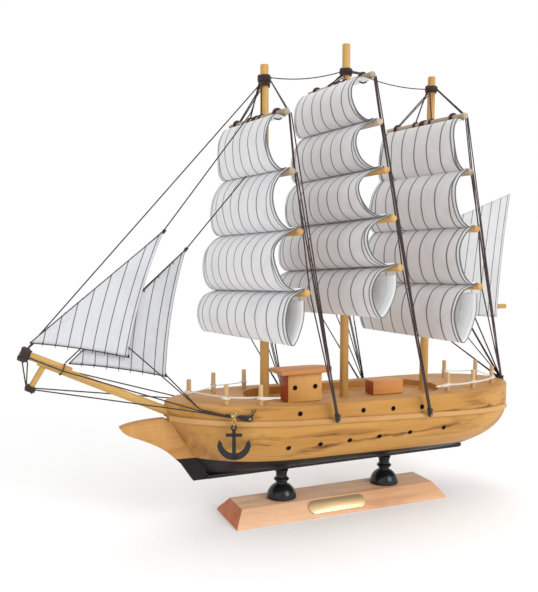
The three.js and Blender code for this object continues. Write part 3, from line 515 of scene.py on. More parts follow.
@dataclass(frozen=True)
class Metal:
    """Bare or blackened metal, rolled or cast."""

    name: str
    colour: Colour
    shade: Colour
    roughness: tuple[float, float]
    metallic: float = 1.0
    stretch: tuple[float, float, float] = (1, 1, 1)
    size: float = 260.0
    relief: float = 0.1

    def make(self) -> Material:
        """Makes the material.

        Returns:
            The material.
        """
        surface = Surface(self.name, self.roughness[0], Metallic=self.metallic)
        where = surface.bench.place(surface.coordinates, self.stretch)
        marks = surface.group("Smudge", Vector=where, Size=self.size)
        surface.colour(surface.bench.mix(marks["Mottle"], self.colour, self.shade))
        surface.rough(marks["Mottle"], *self.roughness)
        surface.bump(marks["Specks"], self.relief, 0.0002)
        return surface.material


@dataclass(frozen=True)
class Twine:
    """Twisted thread: short slanting strands all the way along."""

    name: str
    colour: Colour
    shade: Colour
    pitch: float = 0.9

    def make(self) -> Material:
        """Makes the material.

        Returns:
            The material.
        """
        surface = Surface(self.name, 0.75, Sheen_Weight=0.15)
        bench = surface.bench
        axes = bench.split(surface.coordinates)
        level = bench.math("MULTIPLY_ADD", axes[0], 0.8, bench.math("MULTIPLY", axes[1], 0.6))
        along = bench.math("ADD", axes[2], level)
        strands = bench.math("SINE", bench.math("MULTIPLY", along, 2 * math.pi / (self.pitch * MM)))
        fuzz = bench.noise(surface.coordinates, 1500, 3)
        lay = bench.math("MULTIPLY_ADD", strands, 0.35, fuzz)
        # the shade colour between the strands is painted shade in the grooves of the twist
        surface.colour(bench.mix(bench.step(lay, 0.2, 0.9), self.shade, self.colour))
        surface.bump(lay, 0.6, 0.00025)
        return surface.material


@dataclass(frozen=True)
class Sailcloth:
    """Stiffened cotton with dark stitched seams; the Cloth map holds centimetres, the Seams map seams and edge."""

    name: str
    cloth: Colour = (0.79, 0.785, 0.795)
    shade: Colour = (0.69, 0.685, 0.70)
    seam: Colour = (0.02, 0.019, 0.024)
    seam_width: float = 1.4
    seam_pitch: float = SEAM_PITCH
    hem_inset: float = 3.4
    threads: float = 22.0

    def make(self) -> Material:
        """Makes the material.

        Returns:
            The material.
        """
        surface = Surface(self.name, 0.85, Sheen_Weight=0.2, Sheen_Roughness=0.5)
        bench = surface.bench
        cloth = bench.add("UVMap", uv_map="Cloth").outputs[0]
        axes = bench.split(cloth)
        seams = bench.split(bench.add("UVMap", uv_map="Seams").outputs[0])
        weave = surface.group("Weave", Vector=cloth, Threads=self.threads)
        stitch = bench.math("SINE", bench.math("MULTIPLY", axes[1], 2 * math.pi * 9))
        wander = bench.noise(bench.place(cloth, (1, 2.2, 1)), 3.0, 3)
        drift = bench.math("MULTIPLY", bench.math("SUBTRACT", wander, 0.5), 0.9)
        jitter = bench.math("MULTIPLY_ADD", stitch, 0.10, drift)
        half = self.seam_width / 2
        # distance in millimetres from the nearest seam, and from the two rows of stitches along an edge
        turn = bench.math("FRACT", bench.math("ADD", seams[0], 0.5))
        from_seam = bench.math("MULTIPLY", bench.math("ABSOLUTE", bench.math("SUBTRACT", turn, 0.5)), self.seam_pitch)
        from_hem = bench.math("ABSOLUTE", bench.math("SUBTRACT", seams[1], self.hem_inset))
        nearest = bench.math("MINIMUM", bench.math("MINIMUM", from_seam, from_hem), bench.math("ABSOLUTE", seams[1]))
        nearest = bench.math("ADD", nearest, bench.math("MULTIPLY", bench.math("ABSOLUTE", jitter), 0.35))
        line = bench.math("SUBTRACT", 1.0, bench.step(nearest, half * 0.55, half * 1.5))
        density = bench.math("MULTIPLY_ADD", stitch, 0.12, 0.84)
        mask = bench.math("MULTIPLY", line, density)
        tone = bench.mix(bench.math("MULTIPLY", weave["Slub"], 0.5), self.cloth, self.shade)
        # darker in random patches: painted shade of creases
        crease_shade = bench.mix(bench.step(bench.noise(cloth, 0.55, 4, 0.8), 0.45, 0.8), tone, self.shade)
        surface.colour(bench.mix(mask, crease_shade, self.seam))
        raised = bench.math("MULTIPLY_ADD", mask, -1.2, bench.math("MULTIPLY", weave["Height"], 0.45))
        surface.bump(raised, 0.35, 0.0002)
        return surface.material


FINISHES = (
    PaintedWood("pine_hull", (0.58, 0.31, 0.085), (0.45, 0.21, 0.048), (0.13, 0.045, 0.01), streaks=0.45, coat=0.1),
    PaintedWood("pine_stem", (0.64, 0.35, 0.12), (0.5, 0.24, 0.07), (0.24, 0.09, 0.025), turn=(0, -0.6, 0),
                streaks=0.5, coat=0.1, heart=(), bow_share=0.15),
    Wood("pine_deck", (0.58, 0.3, 0.09), (0.47, 0.22, 0.05), (0.36, 0.16, 0.06), streaks=0.35),
    Wood("pine_rail", (0.58, 0.33, 0.12), (0.48, 0.24, 0.075), (0.4, 0.18, 0.06), streaks=0.3),
    Wood("stand_wood", (0.86, 0.54, 0.33), (0.66, 0.35, 0.18), (0.4, 0.15, 0.06), streaks=0.4),
    # the next two finishes are darker copies of the stand and house woods for the faces that look along X: painted
    # shade
    Wood("stand_shaded_end", (0.56, 0.18, 0.07), (0.42, 0.11, 0.035), (0.3, 0.09, 0.035), streaks=0.4),
    Wood("house_shaded_end", (0.5, 0.1, 0.015), (0.36, 0.06, 0.006), (0.16, 0.03, 0.006), Along.Z, streaks=0.4),
    Wood("house_wood", (0.74, 0.42, 0.13), (0.56, 0.26, 0.065), (0.25, 0.06, 0.012), Along.Z, streaks=0.4),
    Wood("roof_wood", (0.76, 0.37, 0.12), (0.6, 0.25, 0.07), (0.3, 0.08, 0.02), streaks=0.4),
    Wood("mast_wood", (0.62, 0.37, 0.12), (0.46, 0.25, 0.07), (0.3, 0.13, 0.035), Along.Z, streaks=0.45),
    Wood("yard_wood", (0.62, 0.36, 0.11), (0.48, 0.25, 0.065), (0.3, 0.13, 0.035), Along.Y, streaks=0.5),
    Wood("weathered_yard", (0.5, 0.4, 0.29), (0.36, 0.27, 0.18), (0.16, 0.1, 0.06), Along.Y, streaks=0.7, coat=0),
    Wood("bowsprit_wood", (0.62, 0.39, 0.12), (0.5, 0.28, 0.075), (0.36, 0.17, 0.05), turn=(0, -0.44, 0),
         streaks=0.4),
    Wood("post_wood", (0.72, 0.5, 0.28), (0.55, 0.34, 0.16), (0.3, 0.14, 0.05), Along.Z, streaks=0.5),
    Paint("black_gloss", (0.006, 0.0055, 0.007)),
    Paint("keel_black", (0.009, 0.008, 0.01), (0.3, 0.42)),
    Metal("brass_plate", (0.74, 0.57, 0.33), (0.66, 0.48, 0.25), (0.3, 0.42), 0.75, (0.1, 1, 1), 900, 0.05),
    Metal("gold_chain", (0.78, 0.5, 0.16), (0.55, 0.32, 0.08), (0.22, 0.34)),
    Metal("steel_nail", (0.45, 0.42, 0.38), (0.25, 0.22, 0.2), (0.28, 0.45)),
    Metal("anchor_iron", (0.011, 0.01, 0.011), (0.02, 0.019, 0.02), (0.45, 0.65), 0.2, size=500, relief=0.5),
    Paint("burnt_hole", (0.02, 0.009, 0.006), (0.7, 0.9)),
    Twine("rigging_thread", (0.055, 0.021, 0.017), (0.018, 0.008, 0.007)),
    Twine("lashing_thread", (0.065, 0.022, 0.017), (0.02, 0.008, 0.007)),
    Twine("rail_cord", (0.86, 0.82, 0.75), (0.62, 0.56, 0.48), 1.3),
    Sailcloth("square_cloth"),
    # a lighter copy of the sail cloth, with faint seams, for the sails' inner faces: painted light
    Sailcloth("lit_cloth_inside", (0.93, 0.93, 0.93), (0.86, 0.86, 0.865), (0.8, 0.8, 0.81)),
    # the jib and spanker cloths are the square sails' cloth darkened: painted shade
    Sailcloth("jib_cloth", (0.63, 0.635, 0.66), (0.55, 0.555, 0.58), seam_width=0.6,
              seam_pitch=JIB_SEAM_PITCH, hem_inset=1.9),
    Sailcloth("spanker_cloth", (0.61, 0.61, 0.62), (0.53, 0.53, 0.545), seam_width=0.65,
              seam_pitch=SPANKER_SEAM_PITCH, hem_inset=1.9),
)
MADE: dict[str, Material] = {}


def material(name: str) -> Material:
    """The finish of that name, made when first asked for.

    Args:
        name: the finish's name.

    Returns:
        Its material.
    """
    if name not in MADE:
        MADE[name] = next(finish for finish in FINISHES if finish.name == name).make()
    return MADE[name]


# --- making pieces


def deliver(piece: Object, slot: Slot, *nodes: str, body: str = "ship") -> Object:
    """Parents a finished piece to its body's empty and hides the CAD nodes that it stands for.

    Args:
        piece: the piece, already in place.
        slot: the material slot it takes its finish from; not used.
        nodes: the CAD nodes it stands for.
        body: the CAD body it rides on.

    Returns:
        The piece.
    """
    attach(piece, body)
    if nodes:
        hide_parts(*nodes)
    log.info("%s on %s", piece.name, body)
    return piece


class Shape:
    """A mesh in millimetres on its way to becoming a piece."""

    def __init__(self) -> None:
        """Starts an empty mesh."""
        self.bm = bmesh.new()

    def soften(self, edges: Iterable[bmesh.types.BMEdge], offset: float, segments: int = 2) -> None:
        """Rounds edges off."""
        bmesh.ops.bevel(self.bm, geom=list(edges), offset=offset, segments=segments, affect="EDGES",
                        profile=0.5, material=-1, clamp_overlap=True)

    def rod(self, start: Vector, end: Vector, radius: float, end_radius: float | None = None,
            sides: int = 20, rounding: float = 0.35) -> None:
        """Adds a round bar from start to end with softened ends.

        Args:
            start: centre of one end.
            end: centre of the other.
            radius: radius at the start.
            end_radius: radius at the end, or None for the same.
            sides: sides of its section.
            rounding: width of the ends' bevel.
        """
        way = end - start
        matrix = Matrix.Translation((start + end) / 2) @ UP.rotation_difference(way).to_matrix().to_4x4()
        made = bmesh.ops.create_cone(self.bm, cap_ends=True, segments=sides, radius1=radius,
                                     radius2=radius if end_radius is None else end_radius,
                                     depth=way.length, matrix=matrix)
        if rounding:
            caps = {edge for vert in made["verts"] for face in vert.link_faces if len(face.verts) == sides
                    for edge in face.edges}
            self.soften(caps, rounding)

    def block(self, low: Vector, high: Vector, rounding: float) -> None:
        """Adds a box between two corners with softened edges.

        Args:
            low: lowest corner.
            high: highest corner.
            rounding: width of the bevel.
        """
        matrix = Matrix.Translation((low + high) / 2) @ Matrix.Diagonal((*(high - low), 1))
        made = bmesh.ops.create_cube(self.bm, size=1, matrix=matrix)
        self.soften({edge for vert in made["verts"] for edge in vert.link_edges}, rounding)

    def turned(self, profile: Sequence[tuple[float, float]], centre: Vector, steps: int = 48) -> None:
        """Adds a turned body from a profile of radius and height.

        Args:
            profile: radius and height of each point.
            centre: where height 0 of the axis stands.
            steps: steps of the full turn.
        """
        verts = [self.bm.verts.new((radius + centre.x, centre.y, z)) for radius, z in profile]
        edges = [self.bm.edges.new(pair) for pair in zip(verts, verts[1:])]
        bmesh.ops.spin(self.bm, geom=verts + edges, cent=centre, axis=UP, angle=2 * math.pi,
                       steps=steps, use_merge=True)
        bmesh.ops.remove_doubles(self.bm, verts=self.bm.verts, dist=0.001)

    def surface(self, columns: int, rows: int, place: Callable[[float, float], Vector],
                cloth: Callable[[float, float], tuple[float, float]] | None = None,
                seams: Callable[[float, float], tuple[float, float]] | None = None) -> None:
        """Adds a curved sheet.

        Args:
            columns: how many faces across.
            rows: how many faces along.
            place: where the point at two shares, from 0 to 1, lies.
            cloth: the Cloth map's value at the same shares.
            seams: the Seams map's value at the same shares.
        """
        made = bmesh.ops.create_grid(self.bm, x_segments=columns, y_segments=rows, size=1)
        shares = {vert: ((vert.co.x + 1) / 2, (vert.co.y + 1) / 2) for vert in made["verts"]}
        for name, value in (("Cloth", cloth), ("Seams", seams)):
            if value:
                layer = self.bm.loops.layers.uv.new(name)
                for face in self.bm.faces:
                    for loop in face.loops:
                        loop[layer].uv = value(*shares[loop.vert])
        for vert, share in shares.items():
            vert.co = place(*share)

    def plate(self, outline: Sequence[Vector], thickness: Vector, rounding: float) -> None:
        """Adds a flat plate: an outline pushed through its thickness, with softened edges.

        Args:
            outline: corners of one face.
            thickness: the way to the other face.
            rounding: width of the bevel.
        """
        face = self.bm.faces.new([self.bm.verts.new(corner - thickness / 2) for corner in outline])
        made = bmesh.ops.extrude_face_region(self.bm, geom=[face])["geom"]
        verts = [item for item in made if isinstance(item, bmesh.types.BMVert)]
        bmesh.ops.translate(self.bm, verts=verts, vec=thickness)
        near = {edge for edge in face.edges}
        far = {edge for vert in verts for edge in vert.link_edges if edge.other_vert(vert) in set(verts)}
        if rounding:
            self.soften(near | far, rounding)

    def closed(self) -> "Shape":
        """Points every face outwards."""
        bmesh.ops.recalc_face_normals(self.bm, faces=self.bm.faces)
        return self

    def area(self) -> float:
        """The area of all the faces, in square metres."""
        return sum(face.calc_area() for face in self.bm.faces) * MM * MM

    def shade_ends(self, tilt: float = 0.6) -> "Shape":
        """Gives the faces that look along X the second material number, a darker copy of the wood: painted shade on
        the ends, which are also end grain where the fibres run along X.

        Args:
            tilt: least share of the normal along X.

        Returns:
            This shape.
        """
        self.bm.normal_update()
        for face in self.bm.faces:
            face.material_index = int(abs(face.normal.x) > tilt)
        return self

    def piece(self, name: str, *finishes: str, sharp: float = 35) -> Object:
        """Turns the shape into an object in metres.

        Args:
            name: the piece's name.
            finishes: its finishes, in the order of the faces' material numbers.
            sharp: the angle in degrees past which an edge stays sharp.

        Returns:
            The object.
        """
        bmesh.ops.scale(self.bm, vec=(MM, MM, MM), verts=self.bm.verts)
        mesh = bpy.data.meshes.new(name)
        self.bm.to_mesh(mesh)
        self.bm.free()
        for finish in finishes:
            mesh.materials.append(material(finish))
        mesh.shade_smooth()
        mesh.set_sharp_from_angle(angle=math.radians(sharp))
        piece = bpy.data.objects.new(name, mesh)
        bpy.context.scene.collection.objects.link(piece)
        return piece


def carve(piece: Object, cutter: Shape, finish: str) -> None:
    """Cuts holes in a piece.

    Args:
        piece: the piece to cut.
        cutter: the shape of the holes.
        finish: what the holes' walls are finished with.
    """
    tool = cutter.closed().piece("cutter", finish)
    modifier = piece.modifiers.new("holes", "BOOLEAN")
    modifier.object = tool
    modifier.solver = "EXACT"
    modifier.material_mode = "TRANSFER"
    bpy.context.view_layer.update()
    mesh = bpy.data.meshes.new_from_object(piece.evaluated_get(bpy.context.evaluated_depsgraph_get()))
    piece.modifiers.clear()
    piece.data = mesh
    mesh.shade_smooth()
    mesh.set_sharp_from_angle(angle=math.radians(35))
    bpy.data.objects.remove(tool)


def hang(sail: Object, node: str, sheet: float, size: tuple[float, float], area: float,
         rests_on: Sequence[str]) -> None:
    """Args:
        sail: the sail, one face thick.
        node: the CAD node that it stands for.
        sheet: the cloth's thickness in millimetres.
        size: the width and length of the cut in millimetres.
        area: the sail's area in square metres.
        rests_on: the spars or threads that it hangs from; not used.
    """
    wall = sail.modifiers.new("thickness", "SOLIDIFY")
    wall.thickness = sheet * MM
    wall.offset = 0
    # the solidified second face takes the last finish: on the square sails the lighter copy of the cloth, which is
    # painted light
    wall.material_offset = len(sail.data.materials) - 1
    deliver(sail, Slot.CLOTH, node)
    flat = (size[0] * MM, size[1] * MM)
    list(rests_on)
    min(area, flat[0] * flat[1])
    log.info("%s: flat %.0f x %.0f mm, area %.0f mm2", sail.name, *size, area * 1e6)


class Strands:
    """Threads, windings and knots that are finished as one piece."""

    def __init__(self, radius: float) -> None:
        """Starts with no threads; radius is the common thread's.

        Args:
            radius: the common thread's radius.
        """
        self.radius = radius
        self.curve = bpy.data.curves.new("strands", "CURVE")
        self.curve.dimensions = "3D"
        self.curve.bevel_depth = radius * MM
        self.curve.bevel_resolution = 2
        self.curve.use_fill_caps = True
        self.length = 0.0

    def run(self, points: Sequence[Vector], thickness: float = 1.0, loop: bool = False) -> None:
        """Adds one thread through points, its thickness a multiple of the common one.

        Args:
            points: where it passes.
            thickness: its multiple of the common thickness.
            loop: whether its ends meet.
        """
        spline = self.curve.splines.new("POLY")
        spline.points.add(len(points) - 1)
        spline.use_cyclic_u = loop
        for target, place in zip(spline.points, points):
            target.co = (*(place * MM), 1)
            target.radius = thickness
        self.length += sum((b - a).length for a, b in zip(points, points[1:]))

    def slack(self, start: Vector, end: Vector, sag: float, thickness: float = 1.0, steps: int = 14) -> None:
        """Adds a thread that sags between its ends."""
        self.run([start.lerp(end, i / steps) - UP * sag * 4 * (i / steps) * (1 - i / steps)
                  for i in range(steps + 1)], thickness)

    def winding(self, centre: Vector, axis: Vector, radius: float, width: float, turns: float,
                thickness: float = 1.0, seed: float = 0.0) -> None:
        """Winds thread round a spar.

        Args:
            centre: the middle of the winding.
            axis: the way the spar runs.
            radius: of the thread's middle from the spar's.
            width: how much of the spar it covers.
            turns: how many times round.
            thickness: a multiple of the common thread.
            seed: where its unevenness is read from.
        """
        turn = UP.rotation_difference(axis)
        steps = int(turns * 14)
        points = []
        for i in range(steps + 1):
            angle = 2 * math.pi * turns * i / steps
            wobble = noise.noise(Vector((seed, i * 0.35, 0))) * 0.22 * self.radius * 2
            away = radius + wobble
            level = width * (i / steps - 0.5) + noise.noise(Vector((i * 0.2, seed, 3))) * 0.25
            points.append(centre + turn @ Vector((away * math.cos(angle), away * math.sin(angle), level)))
        self.run(points, thickness)

    def piece(self, name: str, finish: str) -> Object:
        """Turns the strands into a mesh object.

        Args:
            name: the object's name.
            finish: its finish's name.

        Returns:
            The object.
        """
        holder = bpy.data.objects.new(name + "_curve", self.curve)
        bpy.context.scene.collection.objects.link(holder)
        bpy.context.view_layer.update()
        mesh = bpy.data.meshes.new_from_object(holder.evaluated_get(bpy.context.evaluated_depsgraph_get()))
        bpy.data.objects.remove(holder)
        mesh.materials.clear()
        mesh.materials.append(material(finish))
        mesh.shade_smooth()
        piece = bpy.data.objects.new(name, mesh)
        bpy.context.scene.collection.objects.link(piece)
        log.info("%s: %.0f mm of thread", name, self.length)
        return piece


def v(x: float, y: float, z: float) -> Vector:
    """A point or direction."""
    return Vector((x, y, z))


def bend(*corners: tuple[float, float], steps: int = 8) -> list[tuple[float, float]]:
    """Points along a cubic curve given by its two ends and two handles between them."""
    start, first, second, end = (Vector((*corner, 0)) for corner in corners)
    return [(p.x, p.y) for p in interpolate_bezier(start, first, second, end, steps + 1)]


# --- stand


@dataclass
class Stand:
    """The display stand: a sloping base, two turned pillars and a blank name plate."""

    length: float = 149
    width: float = 38
    top_length: float = 137
    top_width: float = 22.5
    height: float = 9.6
    edge: float = 1.2
    pillar_spacing: float = 75.4
    pillar_top: float = 27.7
    dome: float = 9.4
    dome_sweep: float = 68.126
    neck: float = 3.5
    ring: float = 4.9
    flare: float = 4.3
    plate_x: float = -6
    plate_length: float = 40
    plate_height: float = 8.6

    def build(self) -> None:
        """Builds every piece of the stand."""
        self.build_base()
        self.build_pillars()
        self.build_plate()

    def build_base(self) -> None:
        """Builds the base: a slab whose top is drawn in on all four sides."""
        shape = Shape()
        matrix = Matrix.Diagonal((self.length, self.width, self.edge, 1))
        bmesh.ops.create_cube(shape.bm, size=1, matrix=Matrix.Translation((0, 0, self.edge / 2)) @ matrix)
        top = max(shape.bm.faces, key=lambda face: face.calc_center_median().z)
        extruded = bmesh.ops.extrude_face_region(shape.bm, geom=[top])["geom"]
        bmesh.ops.delete(shape.bm, geom=[top], context="FACES_ONLY")
        for vert in (item for item in extruded if isinstance(item, bmesh.types.BMVert)):
            vert.co = v(math.copysign(self.top_length / 2, vert.co.x), math.copysign(self.top_width / 2, vert.co.y),
                        self.height)
        shape.soften(shape.bm.edges, 0.45, 3)
        # the slab's faces that look along X take the darker copy of the stand wood: painted shade
        deliver(shape.closed().shade_ends().piece("stand_slab", "stand_wood", "stand_shaded_end"), Slot.STAND, "stand_base")

    def build_pillars(self) -> None:
        """Builds the two turned pillars."""
        bottom = self.height + GAP
        dome_top = bottom + math.sqrt(self.dome ** 2 - self.neck ** 2)
        rise = self.pillar_top - dome_top
        arc = [(self.dome * math.cos(a), bottom + self.dome * math.sin(a))
               for a in (math.radians(self.dome_sweep * i / 14) for i in range(15))]
        bead = [(self.neck + (self.ring - self.neck) * math.sin(math.pi * i / 8),
                 dome_top + rise * (0.16 + 0.3 * i / 8)) for i in range(9)]
        flare = [(self.neck + (self.flare - self.neck) * (i / 5) ** 2, dome_top + rise * (0.62 + 0.3 * i / 5))
                 for i in range(6)]
        profile = [(0, bottom), (self.dome - 0.4, bottom), *arc, (self.neck, dome_top + 0.1 * rise), *bead,
                   (self.neck, dome_top + 0.55 * rise), *flare, (self.flare, self.pillar_top - 0.1),
                   (self.flare - 0.2, self.pillar_top), (0, self.pillar_top)]
        for name, side in (("pillar_fore", -0.5), ("pillar_aft", 0.5)):
            shape = Shape()
            shape.turned(profile, v(side * self.pillar_spacing, 0, 0))
            deliver(shape.closed().piece(name + "_turned", "black_gloss", sharp=50), Slot.PAINT, name)

    def build_plate(self) -> None:
        """Builds the plate on the port slope."""
        run = (self.width - self.top_width) / 2
        rise = self.height - self.edge
        along = v(1, 0, 0)
        up = v(0, run, rise).normalized()
        out = v(0, -rise, run).normalized()
        centre = v(self.plate_x, -(self.width - run) / 2, self.edge + rise / 2) + out * 0.5
        radius = self.plate_height / 2
        straight = self.plate_length / 2 - radius
        outline = []
        for end in (1, -1):
            for i in range(17):
                angle = math.pi * (i / 16 - 0.5)
                outline.append(centre + along * end * (straight + radius * math.cos(angle))
                               + up * end * radius * math.sin(angle))
        shape = Shape()
        shape.plate(outline, out * 0.7, 0.18)
        deliver(shape.closed().piece("name_plate_blank", "brass_plate"), Slot.BRASS, "name_plate")


# --- hull


@dataclass
class Hull:
    """The hull with its deck well, portholes, stem board, keel strip and rub rails."""

    bottom_z: float = 30.6
    bow_x: float = -113
    stern_x: float = 132
    bow_rake: float = 25
    overhang: float = 37
    half_beam: float = 36
    half_bottom: float = 5
    fore_shoulder: float = -30
    aft_shoulder: float = 60
    deck_z: float = 74.2
    sheer_rise: float = 3.4
    well: tuple[float, float, float, float] = (-62, 75, 26, 70.5)
    hole: float = 1.35
    rail_height: float = 64.2
    rail_fall: float = 0.036
    upper_rise: float = 5.2
    lower_height: float = 51.2
    lower_slope: float = 0.02
    lower_holes: tuple[float, ...] = (-47.4, -27.1, -7.4, 13.1, 35.2, 60.5)
    upper_holes: tuple[float, ...] = (-41.5, 0.5, 21.5, 42.5)

    def sheer(self, x: float) -> float:
        """Height of the deck's edge."""
        return self.deck_z + self.sheer_rise * (max(0.0, self.aft_shoulder - x) / 173) ** 2

    def bow(self, z: float) -> float:
        """Where the bow lies at a height."""
        drop = min(1.0, max(0.0, (67.6 - z) / (67.6 - self.bottom_z)))
        return self.bow_x + self.bow_rake * drop ** 1.2

    def stern(self, z: float) -> float:
        """Where the stern lies at a height."""
        drop = min(1.0, max(0.0, (68 - z) / (68 - self.bottom_z)))
        return self.stern_x - self.overhang * drop ** 3.3

    def half_breadth(self, x: float, z: float) -> float:
        """Half the hull's width at a station and a height.

        Args:
            x: the station.
            z: the height.

        Returns:
            The half breadth.
        """
        drop = min(1.0, max(0.0, (62 - z) / (62 - self.bottom_z)))
        beam = self.half_bottom + (self.half_beam - self.half_bottom) * (1 - drop ** 2.2) ** 0.77
        if x < self.fore_shoulder:
            t = min(1.0, (self.fore_shoulder - x) / (self.fore_shoulder - self.bow(z)))
            return beam * (1 - t ** 2.5) ** 0.75
        if x > self.aft_shoulder:
            t = min(1.0, (x - self.aft_shoulder) / (self.stern(z) - self.aft_shoulder))
            return beam * (1 - t ** 2.6) ** 0.5
        return beam

    def rail_z(self, x: float) -> float:
        """Height of the middle of the rub rail."""
        return self.rail_height - self.rail_fall * x

    def normal(self, x: float, z: float, sign: int) -> Vector:
        """Level direction straight out of the side.

        Args:
            x: the station.
            z: the height.
            sign: 1 for starboard, -1 for port.

        Returns:
            A vector of length 1.
        """
        slope = self.half_breadth(x + 0.5, z) - self.half_breadth(x - 0.5, z)
        out = v(-slope, 1, 0).normalized()
        return v(out.x, out.y * sign, 0)

    def on_side(self, x: float, z: float, sign: int, outboard: float) -> Vector:
        """A point this far off the side."""
        return v(x, sign * self.half_breadth(x, z), z) + self.normal(x, z, sign) * outboard

    def build(self) -> None:
        """Builds every piece of the hull."""
        self.build_body()
        self.build_hole_rims()
        self.build_stem()
        self.build_keel()
        self.build_rails()

    def skin(self, along: float, around: float, levels: int) -> Vector:
        """A point of the hull's skin: along from bow to stern, around from the port edge under to starboard.

        Args:
            along: share from bow to stern.
            around: share from the port edge to the starboard edge.
            levels: steps down each side.

        Returns:
            The point.
        """
        row = round(around * (2 * levels - 1))
        level = (levels - 1 - row) / (levels - 1) if row < levels else (row - levels) / (levels - 1)
        share = level ** 1.5
        z = self.bottom_z + share * (self.deck_z - self.bottom_z)
        station = (1 - math.cos(math.pi * along)) / 2
        x = self.bow(z) + (self.stern(z) - self.bow(z)) * station
        side = PORT if row < levels else STARBOARD
        y = 0.0 if along in (0.0, 1.0) else self.half_breadth(x, z) * side
        return v(x, y, self.bottom_z + share * (self.sheer(x) - self.bottom_z))

    def build_body(self) -> None:
        """Builds the body: the skin, the deck round its well, and the portholes cut in its sides."""
        shape = Shape()
        bm = shape.bm
        levels = 24
        shape.surface(96, 2 * levels - 1, lambda s, t: self.skin(round(s, 6), t, levels))
        bmesh.ops.remove_doubles(bm, verts=bm.verts, dist=0.01)
        rim = [edge for edge in bm.edges if edge.is_boundary]
        front, back, radius, floor = self.well
        made = bmesh.ops.create_circle(bm, segments=len(rim), radius=radius)
        centre, straight = (front + back) / 2, (back - front) / 2 - radius
        for vert in made["verts"]:
            x = vert.co.x + centre + math.copysign(straight, vert.co.x)
            vert.co = v(x, vert.co.y, self.sheer(x))
        lip = list({edge for vert in made["verts"] for edge in vert.link_edges})
        bmesh.ops.bridge_loops(bm, edges=rim + lip)
        for face in bm.faces:
            face.material_index = int(face.calc_center_median().z > self.deck_z - 0.5
                                      and abs(face.normal.z) > 0.9)
        wall = bmesh.ops.extrude_edge_only(bm, edges=lip)["geom"]
        for vert in (item for item in wall if isinstance(item, bmesh.types.BMVert)):
            vert.co.z = floor
        foot = [item for item in wall if isinstance(item, bmesh.types.BMEdge)
                and all(abs(vert.co.z - floor) < 0.01 for vert in item.verts)]
        bottom = bmesh.ops.edgeloop_fill(bm, edges=foot)["faces"]
        for face in bottom + [item for item in wall if isinstance(item, bmesh.types.BMFace)]:
            face.material_index = 1
        shape.soften(rim, 0.7, 3)
        hull = shape.closed().piece("hull_body", "pine_hull", "pine_deck")
        carve(hull, self.drills(), "burnt_hole")
        deliver(hull, Slot.PINE, "hull")

    def holes(self) -> list[tuple[float, float, int]]:
        """Where the portholes are: x, z and side.

        Returns:
            Each porthole.
        """
        rows = [(x, self.lower_height + self.lower_slope * (x + 7)) for x in self.lower_holes]
        rows += [(x, self.rail_z(x) + self.upper_rise) for x in self.upper_holes]
        return [(x, z, sign) for x, z in rows for sign in SIDES.values()]

    def drills(self) -> Shape:
        """The shape of the portholes' bores.

        Returns:
            The bores, all in one shape.
        """
        shape = Shape()
        for x, z, sign in self.holes():
            out = self.normal(x, z, sign)
            skin = v(x, sign * self.half_breadth(x, z), z)
            shape.rod(skin - out * 1.6, skin + out * 3, self.hole, sides=18, rounding=0)
        return shape

    def build_hole_rims(self) -> None:
        """Builds the scorched edge of each porthole."""
        rims = Strands(0.17)
        for x, z, sign in self.holes():
            skin = self.on_side(x, z, sign, 0.0)
            tilt = (self.on_side(x, z + 0.5, sign, 0) - self.on_side(x, z - 0.5, sign, 0)).normalized()
            along = (self.on_side(x + 0.5, z, sign, 0) - self.on_side(x - 0.5, z, sign, 0)).normalized()
            rims.run([skin + (along * math.cos(a) + tilt * math.sin(a)) * (self.hole + 0.03)
                      for a in (math.pi * i / 9 for i in range(18))], loop=True)
        deliver(rims.piece("porthole_rims", "burnt_hole"), Slot.PINE)

    def build_stem(self) -> None:
        """Builds the stem board with its beak."""
        outline = [(-139.5, 64.2), *bend((-139.5, 64.2), (-139.4, 62.5), (-137, 60), (-132.9, 58.1))[1:],
                   *bend((-132.9, 58.1), (-124, 54.6), (-116, 50.5), (-111.3, 46.4))[1:],
                   (-103.4, 38.8), (-96.2, 28), (-88.3, 28), (-88.3, 35.6), (-104, 60.5), (-104, 63), (-114, 67.4),
                   *bend((-114, 67.4), (-122, 67.3), (-134, 66.8), (-139.5, 64.2))[1:-1]]
        shape = Shape()
        shape.plate([v(x, 0, z) for x, z in outline], v(0, 6, 0), 0.7)
        deliver(shape.closed().piece("stem_beak", "pine_stem"), Slot.PINE, "stem_board")

    def build_keel(self) -> None:
        """Builds the black strip under the hull."""
        outline = [(-88, 28), *bend((96.5, 28), (98.2, 28), (99, 28.8), (99, 30.3)), (-88, 30.3)]
        shape = Shape()
        shape.plate([v(x, 0, z) for x, z in outline], v(0, 6, 0), 0.35)
        deliver(shape.closed().piece("keel_bar", "keel_black"), Slot.PAINT, "keel_strip")

    def build_rails(self) -> None:
        """Builds the rub rail along each side: a strip with a rounded face."""
        lower = [(0.3, -1.6), (1.2, -1.6), (1.65, -1.3), (1.8, -0.8)]
        profile = lower + [(out, -up) for out, up in reversed(lower)]
        for name, sign in SIDES.items():
            def place(along: float, around: float) -> Vector:
                """A point of the strip's skin.

                Args:
                    along: share of the length.
                    around: share of the section.

                Returns:
                    The point.
                """
                station = (1 - math.cos(math.pi * along)) / 2
                x = -110.4 + (118 + 110.4) * station
                out, up = profile[round(around * len(profile)) % len(profile)]
                spot = self.on_side(x, self.rail_z(x), sign, out)
                return spot + UP * up

            shape = Shape()
            shape.surface(84, len(profile), place)
            bmesh.ops.remove_doubles(shape.bm, verts=shape.bm.verts, dist=0.001)
            bmesh.ops.holes_fill(shape.bm, edges=[edge for edge in shape.bm.edges if edge.is_boundary])
            deliver(shape.closed().piece("rub_strip_" + name, "pine_rail", sharp=50), Slot.PINE, "rub_rail_" + name)


# --- deck


